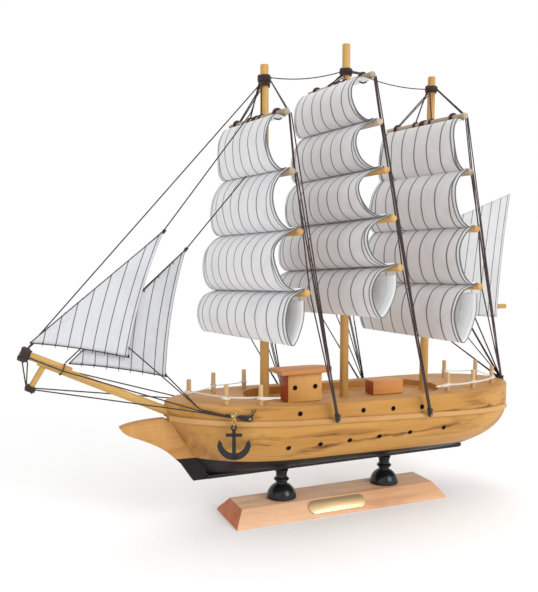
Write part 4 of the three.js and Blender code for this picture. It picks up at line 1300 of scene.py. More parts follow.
@dataclass
class Deck:
    """The deckhouse with its roof, the hatch, and the rails of posts and cord."""

    hull: Hull
    base_z: float = 70.8
    house: tuple[float, float, float, float] = (-36, -12.5, 6.2, 17.5)
    hatch: tuple[float, float, float, float] = (25.6, 48.5, 5.4, 8.8)
    window: float = 1.4
    window_offset: float = 7
    window_height: float = 9.2
    post_radius: float = 1.5
    post_height: float = 12
    rope_height: float = 4.2
    rails: dict[str, tuple[tuple[float, float], ...]] = field(default_factory=lambda: {
        "fore_rail": ((-62.5, -26.5), (-82, -21.5), (-98, 0), (-76, 20.5), (-52.5, 28)),
        "aft_rail": ((69, -26), (91, -24), (113.5, -15.5), (120, 10), (98, 17)),
    })

    def build(self) -> None:
        """Builds every deck fitting."""
        self.build_house()
        self.build_roof()
        front, back, half, height = self.hatch
        shape = Shape()
        shape.block(v(front, -half, self.base_z), v(back, half, self.base_z + height), 0.4)
        # the hatch's faces that look along X take the darker house copy: painted shade
        deliver(shape.closed().shade_ends().piece("hatch_block", "roof_wood", "house_shaded_end"), Slot.CABIN, "hatch")
        for name, places in self.rails.items():
            self.build_rail(name, places)

    def build_house(self) -> None:
        """Builds the house with two burnt portholes in each side."""
        front, back, half, height = self.house
        shape = Shape()
        shape.block(v(front, -half, self.base_z), v(back, half, self.base_z + height), 0.35)
        # the house's faces that look along X take the darker copy: painted shade
        house = shape.closed().shade_ends().piece("house_block", "house_wood", "house_shaded_end")
        drill, rims = Shape(), Strands(0.2)
        middle = v((front + back) / 2, 0, self.base_z + self.window_height)
        for sign in SIDES.values():
            for end in (-1, 1):
                centre = middle + v(end * self.window_offset, sign * half, 0)
                out = v(0, sign, 0)
                drill.rod(centre - out * 1.5, centre + out * 2, self.window, sides=18, rounding=0)
                rims.run([centre + v(math.cos(a), 0, math.sin(a)) * (self.window + 0.02)
                          for a in (math.pi * i / 9 for i in range(18))], loop=True)
        carve(house, drill, "burnt_hole")
        deliver(house, Slot.CABIN, "deckhouse")
        deliver(rims.piece("house_hole_rims", "burnt_hole"), Slot.CABIN)

    def build_roof(self) -> None:
        """Builds the roof: square in front and rounded aft."""
        low = self.base_z + self.house[3] + GAP
        port = [(-15.5, -9.4), *bend((-15.5, -9.4), (-11, -9.4), (-3, -5.5), (-3, 0), steps=10)[1:]]
        outline = [(-41.8, -9.4), *port, *[(x, -y) for x, y in reversed(port[:-1])], (-41.8, 9.4)]
        shape = Shape()
        shape.plate([v(x, y, low + 1.3) for x, y in outline], v(0, 0, 2.6), 0.4)
        deliver(shape.closed().piece("house_roof", "roof_wood"), Slot.CABIN, "deckhouse_roof")

    def build_rail(self, name: str, places: Sequence[tuple[float, float]]) -> None:
        """Builds one rail: posts let into the deck, and a cord looped round each of them.

        Args:
            name: the rail's name.
            places: x and y of each post.
        """
        shape = Shape()
        cord = Strands(0.6)
        for index, (x, y) in enumerate(places):
            deck = self.hull.sheer(x)
            shape.rod(v(x, y, deck - 2), v(x, y, deck + self.post_height), self.post_radius, self.post_radius * 0.9,
                      sides=16, rounding=0.3)
            ring = v(x, y, deck + self.rope_height)
            thick = 1.0 if y < 5 else 0.45
            cord.winding(ring, UP, self.post_radius + 0.55 * thick, 1.5, 1.75, thick, seed=index * 3.1)
            if index:
                px, py = places[index - 1]
                start = v(px, py, self.hull.sheer(px) + self.rope_height)
                way = (ring - start).normalized()
                side = UP.cross(way) * (self.post_radius + 0.3)
                # the cord leaves each post on its outer side and is a single thin line on the far side
                cord.slack(start - side, ring - side, 0.4, thick)
        x, y = places[0]
        aft = 1 if name == "fore_rail" else -1
        tail = v(x, y, self.hull.sheer(x) + self.rope_height)
        cord.run([tail + v(aft * along, -1.9 - 0.12 * along, 0.25 - 0.05 * along)
                  for along in (-1.5, 1, 3, 5, 7, 9, 11)])
        cord.run([tail + v(aft * along, -1.6 - 0.3 * along, -0.9 + 0.1 * along) for along in (0, 2, 4, 6)], 0.8)
        posts = shape.closed().piece(name + "_posts", "post_wood")
        deliver(posts, Slot.SPAR, name)
        deliver(cord.piece(name + "_cord", "rail_cord"), Slot.THREAD)


# --- masts and square sails


def along_spline(points: Sequence[tuple[float, float]], share: float) -> tuple[float, float]:
    """The point at a share of a smooth curve through points.

    Args:
        points: points that the curve passes.
        share: share of its length.

    Returns:
        The point.
    """
    last = len(points) - 1
    spot = share * last
    index = min(int(spot), last - 1)
    w = spot - index
    p0, p1, p2, p3 = (points[max(0, min(last, index + step))] for step in (-1, 0, 1, 2))
    values = []
    for a, b, c, d in zip(p0, p1, p2, p3):
        leave, arrive = (c - a) / 2, (d - b) / 2
        values.append((2 * b - 2 * c + leave + arrive) * w ** 3 + (3 * c - 3 * b - 2 * leave - arrive) * w * w
                      + leave * w + b)
    return values[0], values[1]


@dataclass
class Mast:
    """One mast with its yards and square sails; the lowest sail is rolled up behind itself."""

    name: str
    foot_x: float
    head_x: float
    head_z: float
    lashing_drop: float
    top_yard_z: float
    pitch: float
    halves: tuple[float, ...]
    tilt: tuple[float, float]
    bellies: tuple[tuple[float, float], ...]
    roll: float
    radius: float = 2.85
    head_radius: float = 2.5
    yard_radius: float = 1.9
    foot_z: float = 61.5
    deck_z: float = 70.5
    inset: float = 1.8
    sheet: float = 0.6
    weathered: int = 2

    def x(self, z: float) -> float:
        """Where the mast's middle is at a height."""
        return self.foot_x + (self.head_x - self.foot_x) * (z - self.deck_z) / (self.head_z - self.deck_z)

    def at(self, z: float) -> Vector:
        """The mast's middle at a height."""
        return v(self.x(z), 0, z)

    @property
    def lashing_z(self) -> float:
        """Height of the masthead lashing."""
        return self.head_z - self.lashing_drop

    def yard_tilt(self, index: int) -> float:
        """A yard's tilt in radians, starboard end up."""
        share = index / (len(self.halves) - 1)
        return math.radians(self.tilt[0] + (self.tilt[1] - self.tilt[0]) * share)

    def centre(self, index: int) -> Vector:
        """The middle of a yard."""
        z = self.top_yard_z - index * self.pitch
        return v(self.x(z) - 5.2, 0, z)

    def by_yard(self, index: int, aft: float, along: float, up: float) -> Vector:
        """A point beside a yard, turned with it."""
        return self.centre(index) + Matrix.Rotation(self.yard_tilt(index), 3, "X") @ v(aft, along, up)

    def build(self) -> None:
        """Builds the mast, its yards and its sails."""
        shape = Shape()
        shape.rod(self.at(self.foot_z), self.at(self.head_z), self.radius, self.head_radius, sides=32, rounding=0.5)
        deliver(shape.closed().piece(self.name + "_pole", "mast_wood"), Slot.SPAR, self.name + "_mast")
        for index, half in enumerate(self.halves):
            shape = Shape()
            shape.rod(self.by_yard(index, 0, -half, 0), self.by_yard(index, 0, half, 0), self.yard_radius,
                      sides=20, rounding=0.4)
            wood = "weathered_yard" if index < self.weathered else "yard_wood"
            deliver(shape.closed().piece(f"{self.name}_spar_{index + 1}", wood), Slot.SPAR,
                    f"{self.name}_yard_{index + 1}")
            self.build_sail(index)

    def profile(self, index: int) -> tuple[list[tuple[float, float]], float]:
        """A sail's profile as points ahead of and above its yard, and its height.

        Args:
            index: the sail's number, from 0 at the top.

        Returns:
            The points, and the height.
        """
        belly = sum(self.bellies[index]) / 2
        if index == len(self.halves) - 1:
            h = self.roll
            return [(0.8, 2.25), (2.35, 1.2), (0.72 * belly, -0.1 * h), (belly, -0.42 * h), (0.95 * belly, -0.75 * h),
                    (0.7 * belly, -h), (0.42 * belly, -0.86 * h), (0.14 * belly, -0.5 * h), (0.09 * belly, -3.9)], h
        h = self.pitch
        start = [(0.2, -2.6)] if index == 0 else [(0.8, 2.25), (2.35, 1.2)]
        return [*start, (0.55 * belly, -0.06 * h), (0.92 * belly, -0.26 * h), (belly, -0.52 * h),
                (0.82 * belly, -0.8 * h), (0.45 * belly, -0.945 * h), (1.7, 2.55 - h)], h

    def build_sail(self, index: int) -> None:
        """Builds one sail as a thin curved sheet.

        Args:
            index: the sail's number, from 0 at the top.
        """
        points, height = self.profile(index)
        rolled = index == len(self.halves) - 1
        port, starboard = self.bellies[index]
        skew = (port - starboard) / (port + starboard)
        top = self.halves[index] - self.inset
        foot = top if rolled else self.halves[index + 1] - self.inset
        twist = 0 if rolled else self.yard_tilt(index + 1) - self.yard_tilt(index)
        steps = 60
        samples = [along_spline(points, i / steps) for i in range(steps + 1)]
        lengths = [0.0]
        for a, b in zip(samples, samples[1:]):
            lengths.append(lengths[-1] + math.dist(a, b))
        seed = len(self.name) * 7.3 + index * 2.9

        def where(across: float, down: float) -> tuple[float, float, float, float]:
            """How far ahead and up a point is, its share of the height, and its distance to starboard.

            Args:
                across: share from side to side.
                down: share from head to foot.

            Returns:
                The four distances.
            """
            ahead, up = along_spline(points, down)
            share = min(1.0, max(0.0, -up / height))
            side = 2 * across - 1
            return ahead, up, share, side * (top + (foot - top) * share)

        def place(across: float, down: float) -> Vector:
            """A point of the sail.

            Args:
                across: share from side to side.
                down: share from head to foot.

            Returns:
                The point.
            """
            ahead, up, share, y = where(across, down)
            free = math.sin(math.pi * min(1.0, down)) ** 2
            ripple = noise.noise(Vector((y * 0.045, up * 0.06, seed))) * 0.9 * free
            if ahead > points[0][0]:
                ahead = points[0][0] + (ahead - points[0][0]) * (1 - skew * (2 * across - 1)) + ripple
            return self.by_yard(index, -ahead, y, up + y * math.tan(twist) * share)

        def cloth(across: float, down: float) -> tuple[float, float]:
            """The Cloth map there."""
            return where(across, down)[3] / CLOTH_MAP_UNIT, lengths[round(down * steps)] / CLOTH_MAP_UNIT

        def seams(across: float, down: float) -> tuple[float, float]:
            """The Seams map there: seams counted from the middle, and the distance to the nearer side edge."""
            share, y = where(across, down)[2:]
            return (y + 1.0) / SEAM_PITCH, top + (foot - top) * share - abs(y)

        shape = Shape()
        shape.surface(30, steps, place, cloth, seams)
        area = shape.area()
        # the second finish, a lighter copy of the cloth for the inner face, is painted light
        sail = shape.piece(f"{self.name}_cloth_{index + 1}", "square_cloth", "lit_cloth_inside", sharp=80)
        size = (2 * max(top, foot), lengths[-1] * (1 + abs(skew) * 0.12) + 1.5)
        bent_to = [f"{self.name}_spar_{number}" for number in range(index + 1, index + (2 if rolled else 3))]
        hang(sail, f"{self.name}_sail_{index + 1}", self.sheet, size, area, bent_to)


# --- bowsprit, boom, jibs and spanker


@dataclass
class HeadGear:
    """The bowsprit with its doubling, the striker, the boom and the fore-and-aft sails."""

    mizzen: Mast
    heel: tuple[float, float] = (-101, 67)
    tip: tuple[float, float] = (-192.5, 110.1)
    radius: float = 2.9
    tip_radius: float = 2.5
    striker_top_x: float = -179.5
    striker_foot: tuple[float, float] = (-188.6, 88.8)
    striker_radius: float = 1.6
    boom_z: float = 125.6
    boom_end: float = 137.4
    boom_radius: float = 1.7
    sheet: float = 0.6
    jibs: dict[str, tuple[tuple[float, float], tuple[float, float], tuple[float, float], float]] = field(
        default_factory=lambda: {
            "outer_jib": ((-187.6, 115.6), (-112.6, 177), (-134.3, 104.6), -1.8),
            "inner_jib": ((-167, 102.6), (-98.8, 166.6), (-111.8, 91.6), 1.0),
        })
    spanker: tuple[tuple[float, float], ...] = ((73.6, 181.5), (137.2, 205.6), (127.6, 118.4), (73.6, 122.2))
    spanker_y: float = -2.8

    def on_sprit(self, x: float) -> Vector:
        """The bowsprit's middle at a station."""
        share = (x - self.heel[0]) / (self.tip[0] - self.heel[0])
        return v(x, 0, self.heel[1] + (self.tip[1] - self.heel[1]) * share)

    @property
    def way(self) -> Vector:
        """The bowsprit's direction, forward and up."""
        return v(self.tip[0] - self.heel[0], 0, self.tip[1] - self.heel[1]).normalized()

    @property
    def striker_up(self) -> Vector:
        """The striker's direction, towards the bowsprit."""
        return (self.on_sprit(self.striker_top_x) - v(self.striker_foot[0], 0, self.striker_foot[1])).normalized()

    def build(self) -> None:
        """Builds the spars, then the sails."""
        self.build_spars()
        for name, (tack, head, clew, y) in self.jibs.items():
            self.build_jib(name, tack, head, clew, y)
        self.build_spanker()

    def build_spars(self) -> None:
        """Builds the bowsprit of two overlapping poles, the striker and the boom."""
        shape = Shape()
        over = v(-self.way.z, 0, self.way.x)
        over = over if over.z > 0 else -over
        shape.rod(self.on_sprit(self.heel[0]) - over * 0.5, self.on_sprit(-183) - over * 0.9, self.radius - 0.1,
                  self.tip_radius - 0.5, sides=28, rounding=0.5)
        shape.rod(self.on_sprit(-166) + over * 1.0, self.on_sprit(self.tip[0]) + over * 0.3, self.tip_radius - 0.6,
                  self.tip_radius - 0.1, sides=28, rounding=0.5)
        deliver(shape.closed().piece("bowsprit_pole", "bowsprit_wood"), Slot.SPAR, "bowsprit")
        foot = v(self.striker_foot[0], 0, self.striker_foot[1])
        shape = Shape()
        shape.rod(foot, self.on_sprit(self.striker_top_x) - self.striker_up * 2.6, self.striker_radius,
                  self.striker_radius * 1.05, rounding=0.3)
        deliver(shape.closed().piece("striker_peg", "bowsprit_wood"), Slot.SPAR, "dolphin_striker")
        shape = Shape()
        shape.rod(v(self.mizzen.x(self.boom_z) + 3.1, 0, self.boom_z), v(self.boom_end, 0, self.boom_z),
                  self.boom_radius, rounding=0.35)
        deliver(shape.closed().piece("boom_pole", "bowsprit_wood"), Slot.SPAR, "spanker_boom")

    def sail(self, name: str, place: Callable[[float, float], Vector], leech: Callable[[float, float], float],
             pitch: float, finish: str, size: tuple[float, float], rests_on: Sequence[str]) -> None:
        """Builds one fore-and-aft sail.

        Args:
            name: the CAD node that it stands for.
            place: its surface, from luff to leech and from foot to head.
            leech: how far ahead of the leech a point is.
            pitch: the distance between seams.
            finish: its cloth.
            size: the width and length of the cut.
            rests_on: the spars or threads that it hangs from.
        """
        shape = Shape()
        shape.surface(32, 32, place,
                      lambda s, t: (leech(s, t) / CLOTH_MAP_UNIT, place(s, t).z / CLOTH_MAP_UNIT),
                      lambda s, t: (leech(s, t) / pitch, leech(s, t)))
        bmesh.ops.remove_doubles(shape.bm, verts=shape.bm.verts, dist=0.01)
        area = shape.area()
        hang(shape.piece(name + "_cloth", finish, sharp=80), name, self.sheet, size, area, rests_on)

    def build_jib(self, name: str, tack: tuple[float, float], head: tuple[float, float], clew: tuple[float, float],
                  y: float) -> None:
        """Builds a jib: straight luff, hollow leech and foot.

        Args:
            name: the sail's name.
            tack: x and z of its low fore corner.
            head: x and z of its top.
            clew: x and z of its low after corner.
            y: how far to starboard it hangs.
        """
        corner_t, corner_h, corner_c = (v(x, y, z) for x, z in (tack, head, clew))
        leech_way = corner_h - corner_c
        inward = v(-leech_way.z, 0, leech_way.x).normalized()
        inward = inward if inward.x < 0 else -inward

        def leech_at(t: float) -> Vector:
            """A point of the leech."""
            return corner_c.lerp(corner_h, t) + inward * 2.5 * 4 * t * (1 - t)

        def place(s: float, t: float) -> Vector:
            """A point of the sail, from luff to leech and from foot to head.

            Args:
                s: share from luff to leech.
                t: share from foot to head.

            Returns:
                The point.
            """
            luff = corner_t.lerp(corner_h, t)
            hollow = UP * 1.0 * 4 * s * (1 - s) * (1 - t)
            fullness = v(0, -1, 0) * 0.8 * math.sin(math.pi * s) * math.sin(math.pi * min(1, t * 1.1 + 0.05))
            return luff.lerp(leech_at(t), s) + hollow + fullness * math.copysign(1, -y)

        def ahead(s: float, t: float) -> float:
            """How far ahead of the leech that point is.

            Args:
                s: share from luff to leech.
                t: share from foot to head.

            Returns:
                The distance.
            """
            spot = place(s, t)
            level = (spot.z - corner_c.z) / (corner_h.z - corner_c.z)
            return leech_at(min(1.0, max(-0.2, level))).x - spot.x

        size = ((corner_c - corner_t).length + 1, (corner_h - corner_c).length + 2)
        self.sail(name, place, ahead, JIB_SEAM_PITCH, "jib_cloth", size, ["bow_threads"])

    def build_spanker(self) -> None:
        """Builds the four-cornered sail over the boom."""
        throat, peak, clew, tack = (v(x, self.spanker_y, z) for x, z in self.spanker)

        def place(s: float, t: float) -> Vector:
            """A point of the sail, from luff to leech and from foot to head.

            Args:
                s: share from luff to leech.
                t: share from foot to head.

            Returns:
                The point.
            """
            edge = clew.lerp(peak, t) - v(1.4, 0, 0) * 4 * t * (1 - t)
            fullness = v(0, -0.9, 0) * math.sin(math.pi * s) * math.sin(math.pi * t)
            return tack.lerp(throat, t).lerp(edge, s) + fullness

        def ahead(s: float, t: float) -> float:
            """How far ahead of the leech that point is."""
            return clew.lerp(peak, t).x - 1.4 * 4 * t * (1 - t) - place(s, t).x

        size = ((peak - throat).length + 1, (peak - clew).length + 1)
        self.sail("spanker", place, ahead, SPANKER_SEAM_PITCH, "spanker_cloth", size, ["boom_pole", "mizzen_pole"])


# --- rigging


@dataclass
class Rigging:
    """The shrouds from each masthead to a nail, the stays, and the lashings that hold them."""

    hull: Hull
    masts: Sequence[Mast]
    head: HeadGear
    thread: float = 0.37
    outboard: float = 3.6
    pin_x: dict[str, float] = field(default_factory=lambda: {"fore": -18.6, "main": 46.4})
    stern_pin: tuple[float, float, float] = (135.6, 0, 72.2)
    bow_pin: tuple[float, float, float] = (-71.2, 70.1, 1.6)
    bow_lead: tuple[tuple[float, float], ...] = ((-96.5, 74.2), (-84, 72.1))
    sag: float = 3.5
    sprit_lashings: tuple[float, float] = (-190.2, -170.5)
    collar_drop: float = 3.4

    def pin(self, name: str, sign: int) -> tuple[Vector, Vector]:
        """Where threads are tied to the hull.

        Args:
            name: the mast, or bow for the threads of the bowsprit.
            sign: the side.

        Returns:
            The knot, and the direction out of the hull there.
        """
        if name == "mizzen":
            return v(*self.stern_pin), v(1, 0, 0)
        if name == "bow":
            x, z, out = self.bow_pin
            return self.hull.on_side(x, z, sign, out), self.hull.normal(x, z, sign)
        x = self.pin_x[name]
        z = self.hull.rail_z(x) + 0.6
        return self.hull.on_side(x, z, sign, self.outboard), self.hull.normal(x, z, sign)

    def build(self) -> None:
        """Builds every thread and the nails."""
        before = None
        for mast in self.masts:
            self.build_shrouds(mast, before)
            before = mast
        self.build_bow()
        self.build_yard_knots()
        self.build_nails()

    def build_shrouds(self, mast: Mast, before: Mast | None) -> None:
        """Builds one mast's shrouds, with the slack stay to the mast before it.

        Args:
            mast: the mast.
            before: the mast ahead of it, if there is one.
        """
        lines = Strands(self.thread)
        top = mast.at(mast.lashing_z)
        lines.winding(top, UP, mast.head_radius + 0.75, 4.6, 6.5, 1.15, seed=mast.head_z)
        lines.winding(top, UP, mast.head_radius + 1.35, 3.2, 3.5, 1.15, seed=mast.head_z + 5)
        beside = mast.yard_radius + GAP + self.thread
        last = len(mast.halves) - 1
        for sign in SIDES.values():
            knot, out = self.pin(mast.name, sign)
            start = top + v(1.5, sign * 3.65, 0)

            def ends(inboard: float, aft: float) -> list[Vector]:
                """Points behind each yard, this far in from its end."""
                return [mast.by_yard(i, beside + aft, sign * (half - inboard), 0)
                        for i, half in enumerate(mast.halves)]

            outer, inner, joined = ends(2.4, 0), ends(4.2, 0.3), ends(3.3, 1.4)
            lines.run([start, *outer, knot], 1.1)
            lines.run([start + v(0.6, 0, -1), inner[0], inner[1], knot + v(-0.8, 0, 0.4)])
            for first in range(last):
                lines.run([joined[first], knot + v(0.25 * first, 0, 0.3 * first)])
            # the last stretch is doubled, and served where it reaches the nail
            lines.run([knot.lerp(outer[last], 0.4), knot + v(0.5, 0, 0.3)], 1.3)
            lines.run([knot.lerp(joined[0], 0.25), knot + v(-0.4, 0, 0.9)], 1.3)
            down = (knot - outer[last]).normalized()
            lines.winding(knot - down * 2.6, down, 1.15, 5.2, 7, 1.0, seed=knot.x)
            lines.winding(knot - out * 0.4, out, 1.0, 1.4, 2.5, 1.1, seed=knot.x + 2)
            tail = knot - down * 1.5
            lines.run([tail, tail + v(0.9, sign * 0.6, 0.8), tail + v(1.6, sign * 0.5, 2.6)], 0.8)
        if before:
            start = before.at(before.lashing_z + 1.2) + v(before.head_radius + 1.2, 0, 0)
            end = top - v(mast.head_radius + 1.0, 0, 0)
            lines.slack(start, end, self.sag * (end - start).length / 65 * 0.9, 0.9)
        deliver(lines.piece(mast.name + "_threads", "rigging_thread"), Slot.THREAD, mast.name + "_shrouds")

    def build_bow(self) -> None:
        """Builds the bow's threads: the lashings, the jibs' stays and the leads to the hull."""
        head = self.head
        lines = Strands(self.thread)
        tip, mid = (head.on_sprit(x) for x in self.sprit_lashings)
        foot = v(head.striker_foot[0], 0, head.striker_foot[1]) + head.striker_up * 1.6
        collar = self.lash_stays(lines, tip, mid)
        self.hang_jibs(lines, collar, tip, mid)
        self.lash_striker(lines, tip, foot)
        for sign in SIDES.values():
            self.lead_to_hull(lines, sign, tip, mid, foot)
        for name, up in (("outer_jib", 6), ("inner_jib", 1)):
            clew, side = head.jibs[name][2], head.jibs[name][3]
            lead = [self.hull.on_side(x, z + lift, PORT, 1.6) for (x, z), lift in zip(self.bow_lead, (1, 0))]
            lines.run([v(clew[0], side - 1.1, clew[1] + up), *lead])
        deliver(lines.piece("bow_threads", "rigging_thread"), Slot.THREAD, "bow_rigging")

    def on_sprit_top(self, place: Vector, y: float) -> Vector:
        """A point on the upper face of a winding round the bowsprit."""
        ring = self.head.radius + GAP + 0.6
        return place + v(0.42, 0, 0.91) * math.sqrt(max(0.0, ring * ring - y * y)) + v(0, y, 0)

    def lash_stays(self, lines: Strands, tip: Vector, mid: Vector) -> Vector:
        """Winds the collar on the fore mast and the lashings on the bowsprit, and runs the first stay.

        Args:
            lines: the threads to add to.
            tip: the middle of the lashing at the bowsprit's tip.
            mid: the middle of the lashing where the two poles overlap.

        Returns:
            Where the stays leave the collar.
        """
        fore, way = self.masts[0], self.head.way
        collar_z = fore.lashing_z - self.collar_drop
        lines.winding(fore.at(collar_z), UP, fore.head_radius + 0.75, 2.6, 3.5, 1.1, seed=4)
        lines.winding(tip, way, 3.1, 5.2, 8, 1.25, seed=11)
        lines.winding(tip + way * 0.4, way, 3.8, 3.4, 5, 1.25, seed=12)
        lines.winding(mid, way, 3.3, 1.0, 1.6, 0.8, seed=13)
        collar = fore.at(collar_z) - v(2.9, 0, 0)
        lines.run([collar, self.on_sprit_top(tip, 0)])
        return collar

    def hang_jibs(self, lines: Strands, collar: Vector, tip: Vector, mid: Vector) -> None:
        """Runs each jib's stay from its yard, and ties the jib along it and along its foot.

        Args:
            lines: the threads to add to.
            collar: where the stays leave the fore mast.
            tip: where the outer jib is tied down.
            mid: where the inner jib is tied down.
        """
        fore, head = self.masts[0], self.head
        for name, yard, ahead, rise, foot in (("outer_jib", 0, 4, 3.8, tip), ("inner_jib", 1, 6.6, 1.2, mid)):
            tack, crown, clew, side = head.jibs[name]
            y = side - math.copysign(head.sheet / 2 + 0.55, side)
            over = fore.centre(yard) + v(-ahead, y, rise)
            path = [over, v(crown[0], y, crown[1]), self.on_sprit_top(foot, y)]
            lines.run([collar + v(0, y, 0), *path] if yard == 0 else path)
            lines.winding(v(crown[0], side, crown[1] - 0.4), v(0.6, 0, 0.8), 0.75, 2.2, 3, 0.9, seed=yard + 20)
            # short ties along the luff and hanging from the foot
            for i in range(1, 8):
                share = i / 8
                luff = v(tack[0], y, tack[1]).lerp(v(crown[0], y, crown[1]), share)
                lines.run([luff + v(0.2, -0.9, 0.6), luff + v(0.5, 0.2, -0.9)], 0.55)
                edge = v(tack[0], side, tack[1]).lerp(v(clew[0], side, clew[1]), share)
                lines.run([edge + v(0, -0.5, 1.4), edge + v(-0.1, -0.6, -0.6)], 0.5)
            # the bolt ropes: along the foot, which arches up, and along the luff
            corners = v(tack[0], side - 0.45, tack[1]), v(clew[0], side - 0.45, clew[1])
            lines.slack(*corners, -1.0, 0.75, steps=12)
            lines.run([v(tack[0], side - 0.4, tack[1]), v(crown[0], side - 0.4, crown[1])], 0.75)
            lines.run([v(clew[0] + 0.3, side - 0.6, clew[1] + 1.6), v(clew[0] + 0.2, side - 0.7, clew[1] - 0.4)], 1.1)

    def lash_striker(self, lines: Strands, tip: Vector, foot: Vector) -> None:
        """Lashes the striker's foot, ties it to the bowsprit's tip and leaves a loose end there.

        Args:
            lines: the strands to add to.
            tip: the bowsprit's tip.
            foot: the striker's foot.
        """
        head = self.head
        lines.winding(foot, head.striker_up, 2.1, 3.4, 5.5, 1.2, seed=31)
        lines.winding(foot, head.striker_up, 2.7, 1.8, 3, 1.1, seed=32)
        for end in (-1, 1):
            lines.run([tip + head.way * end * 1.6 - UP * 3.4, foot + v(-2.0, -end * 0.6, 0.6 * end)])
        lines.run([tip + head.way * 1.5 + v(0, -3.6, 0), tip + head.way * 4 + v(0, -4.4, -1.6),
                   tip + head.way * 4.4 + v(0, -4.8, -3.8)], 1.1)

    def lead_to_hull(self, lines: Strands, sign: int, tip: Vector, mid: Vector, foot: Vector) -> None:
        """Leads the bowsprit's and the striker's threads to the bow nail on one side, and ties them there.

        Args:
            lines: the threads to add to.
            sign: the side.
            tip: the lashing at the bowsprit's tip.
            mid: the lashing where the two poles overlap.
            foot: the lashing at the striker's foot.
        """
        knot, out = self.pin("bow", sign)
        high = [self.hull.on_side(x, z, sign, 1.6) for x, z in self.bow_lead]
        low = [self.hull.on_side(x, z - 0.8, sign, 1.6) for x, z in self.bow_lead]
        lines.run([tip + v(0, sign * 3.5, -0.4), mid + v(0, sign * 3.5, -0.4), *high, knot])
        lines.run([foot + v(0.6, sign * 2.3, 0), *low, knot])
        lines.run([high[1] + v(0, sign * 0.3, 0.3), knot + v(1.0, 0, 0.2)], 1.8)
        lines.winding(knot, out, 1.3, 1.5, 3, 1.1, seed=40 + sign)
        way = (knot - high[1]).normalized()
        lines.winding(knot - way * 3, way, 1.2, 4.5, 6, 0.9, seed=44 + sign)
        for lean in (0.9, -0.2):
            lines.run([knot + v(0.4, 0, 0), knot + v(1.2 + lean, sign * 0.8, 2.6),
                       knot + v(1.6 + 2 * lean, sign, 5.4)], 0.8)

    def build_yard_knots(self) -> None:
        """Builds the lashings that hold each top yard to its sail and its mast."""
        knots = Strands(0.5)
        for mast in self.masts:
            tilt = Matrix.Rotation(mast.yard_tilt(0), 3, "X")
            for share in (-0.72, 0.72):
                place = mast.by_yard(0, 0, share * mast.halves[0], 0)
                knots.winding(place, tilt @ v(0, 1, 0), mast.yard_radius + 0.5, 2.4, 4, seed=place.y)
                knots.winding(place, tilt @ v(0, 1, 0), mast.yard_radius + 1.1, 1.2, 2, seed=place.y + 1)
            top = mast.at(mast.lashing_z) - v(2.6, 0, 1.5)
            for sign in SIDES.values():
                end = mast.by_yard(0, -0.4, sign * 9, mast.yard_radius + 0.4)
                knots.run([top + v(0, sign * 1.6, 0), end], 0.9)
                knots.winding(mast.by_yard(0, 0, sign * 9, 0), tilt @ v(0, 1, 0), mast.yard_radius + 0.45, 1.8, 3,
                              0.9, seed=sign)
            for index in range(len(mast.halves)):
                middle = mast.centre(index)
                knots.winding(middle, v(0, 1, 0), mast.yard_radius + 0.42, 5, 4.5, 0.8, seed=index)
                loop = [mast.at(middle.z + 0.9 * math.sin(a)) + v(3.35 * math.cos(a) - 0.1, 3.35 * math.sin(a), 0)
                        for a in (2 * math.pi * i / 18 for i in range(18))]
                knots.run(loop, 0.8, loop=True)
        deliver(knots.piece("yard_knots", "lashing_thread"), Slot.THREAD)

    def build_nails(self) -> None:
        """Builds the nails that the threads are tied to."""
        shape = Shape()
        spots = [self.pin(name, sign) for name in ("fore", "main", "bow") for sign in SIDES.values()]
        spots.append(self.pin("mizzen", PORT))
        for knot, out in spots:
            shape.rod(knot - out * 6, knot + out * 1.2, 0.42, sides=12, rounding=0.1)
            shape.rod(knot + out * 1.1, knot + out * 1.6, 0.95, 0.7, sides=16, rounding=0.15)
        shape.rod(v(130.5, 0, 68.4), v(134, 0, 68.4), 0.7, 0.5, sides=14, rounding=0.2)
        deliver(shape.closed().piece("shroud_nails", "steel_nail"), Slot.IRON)


# --- anchors


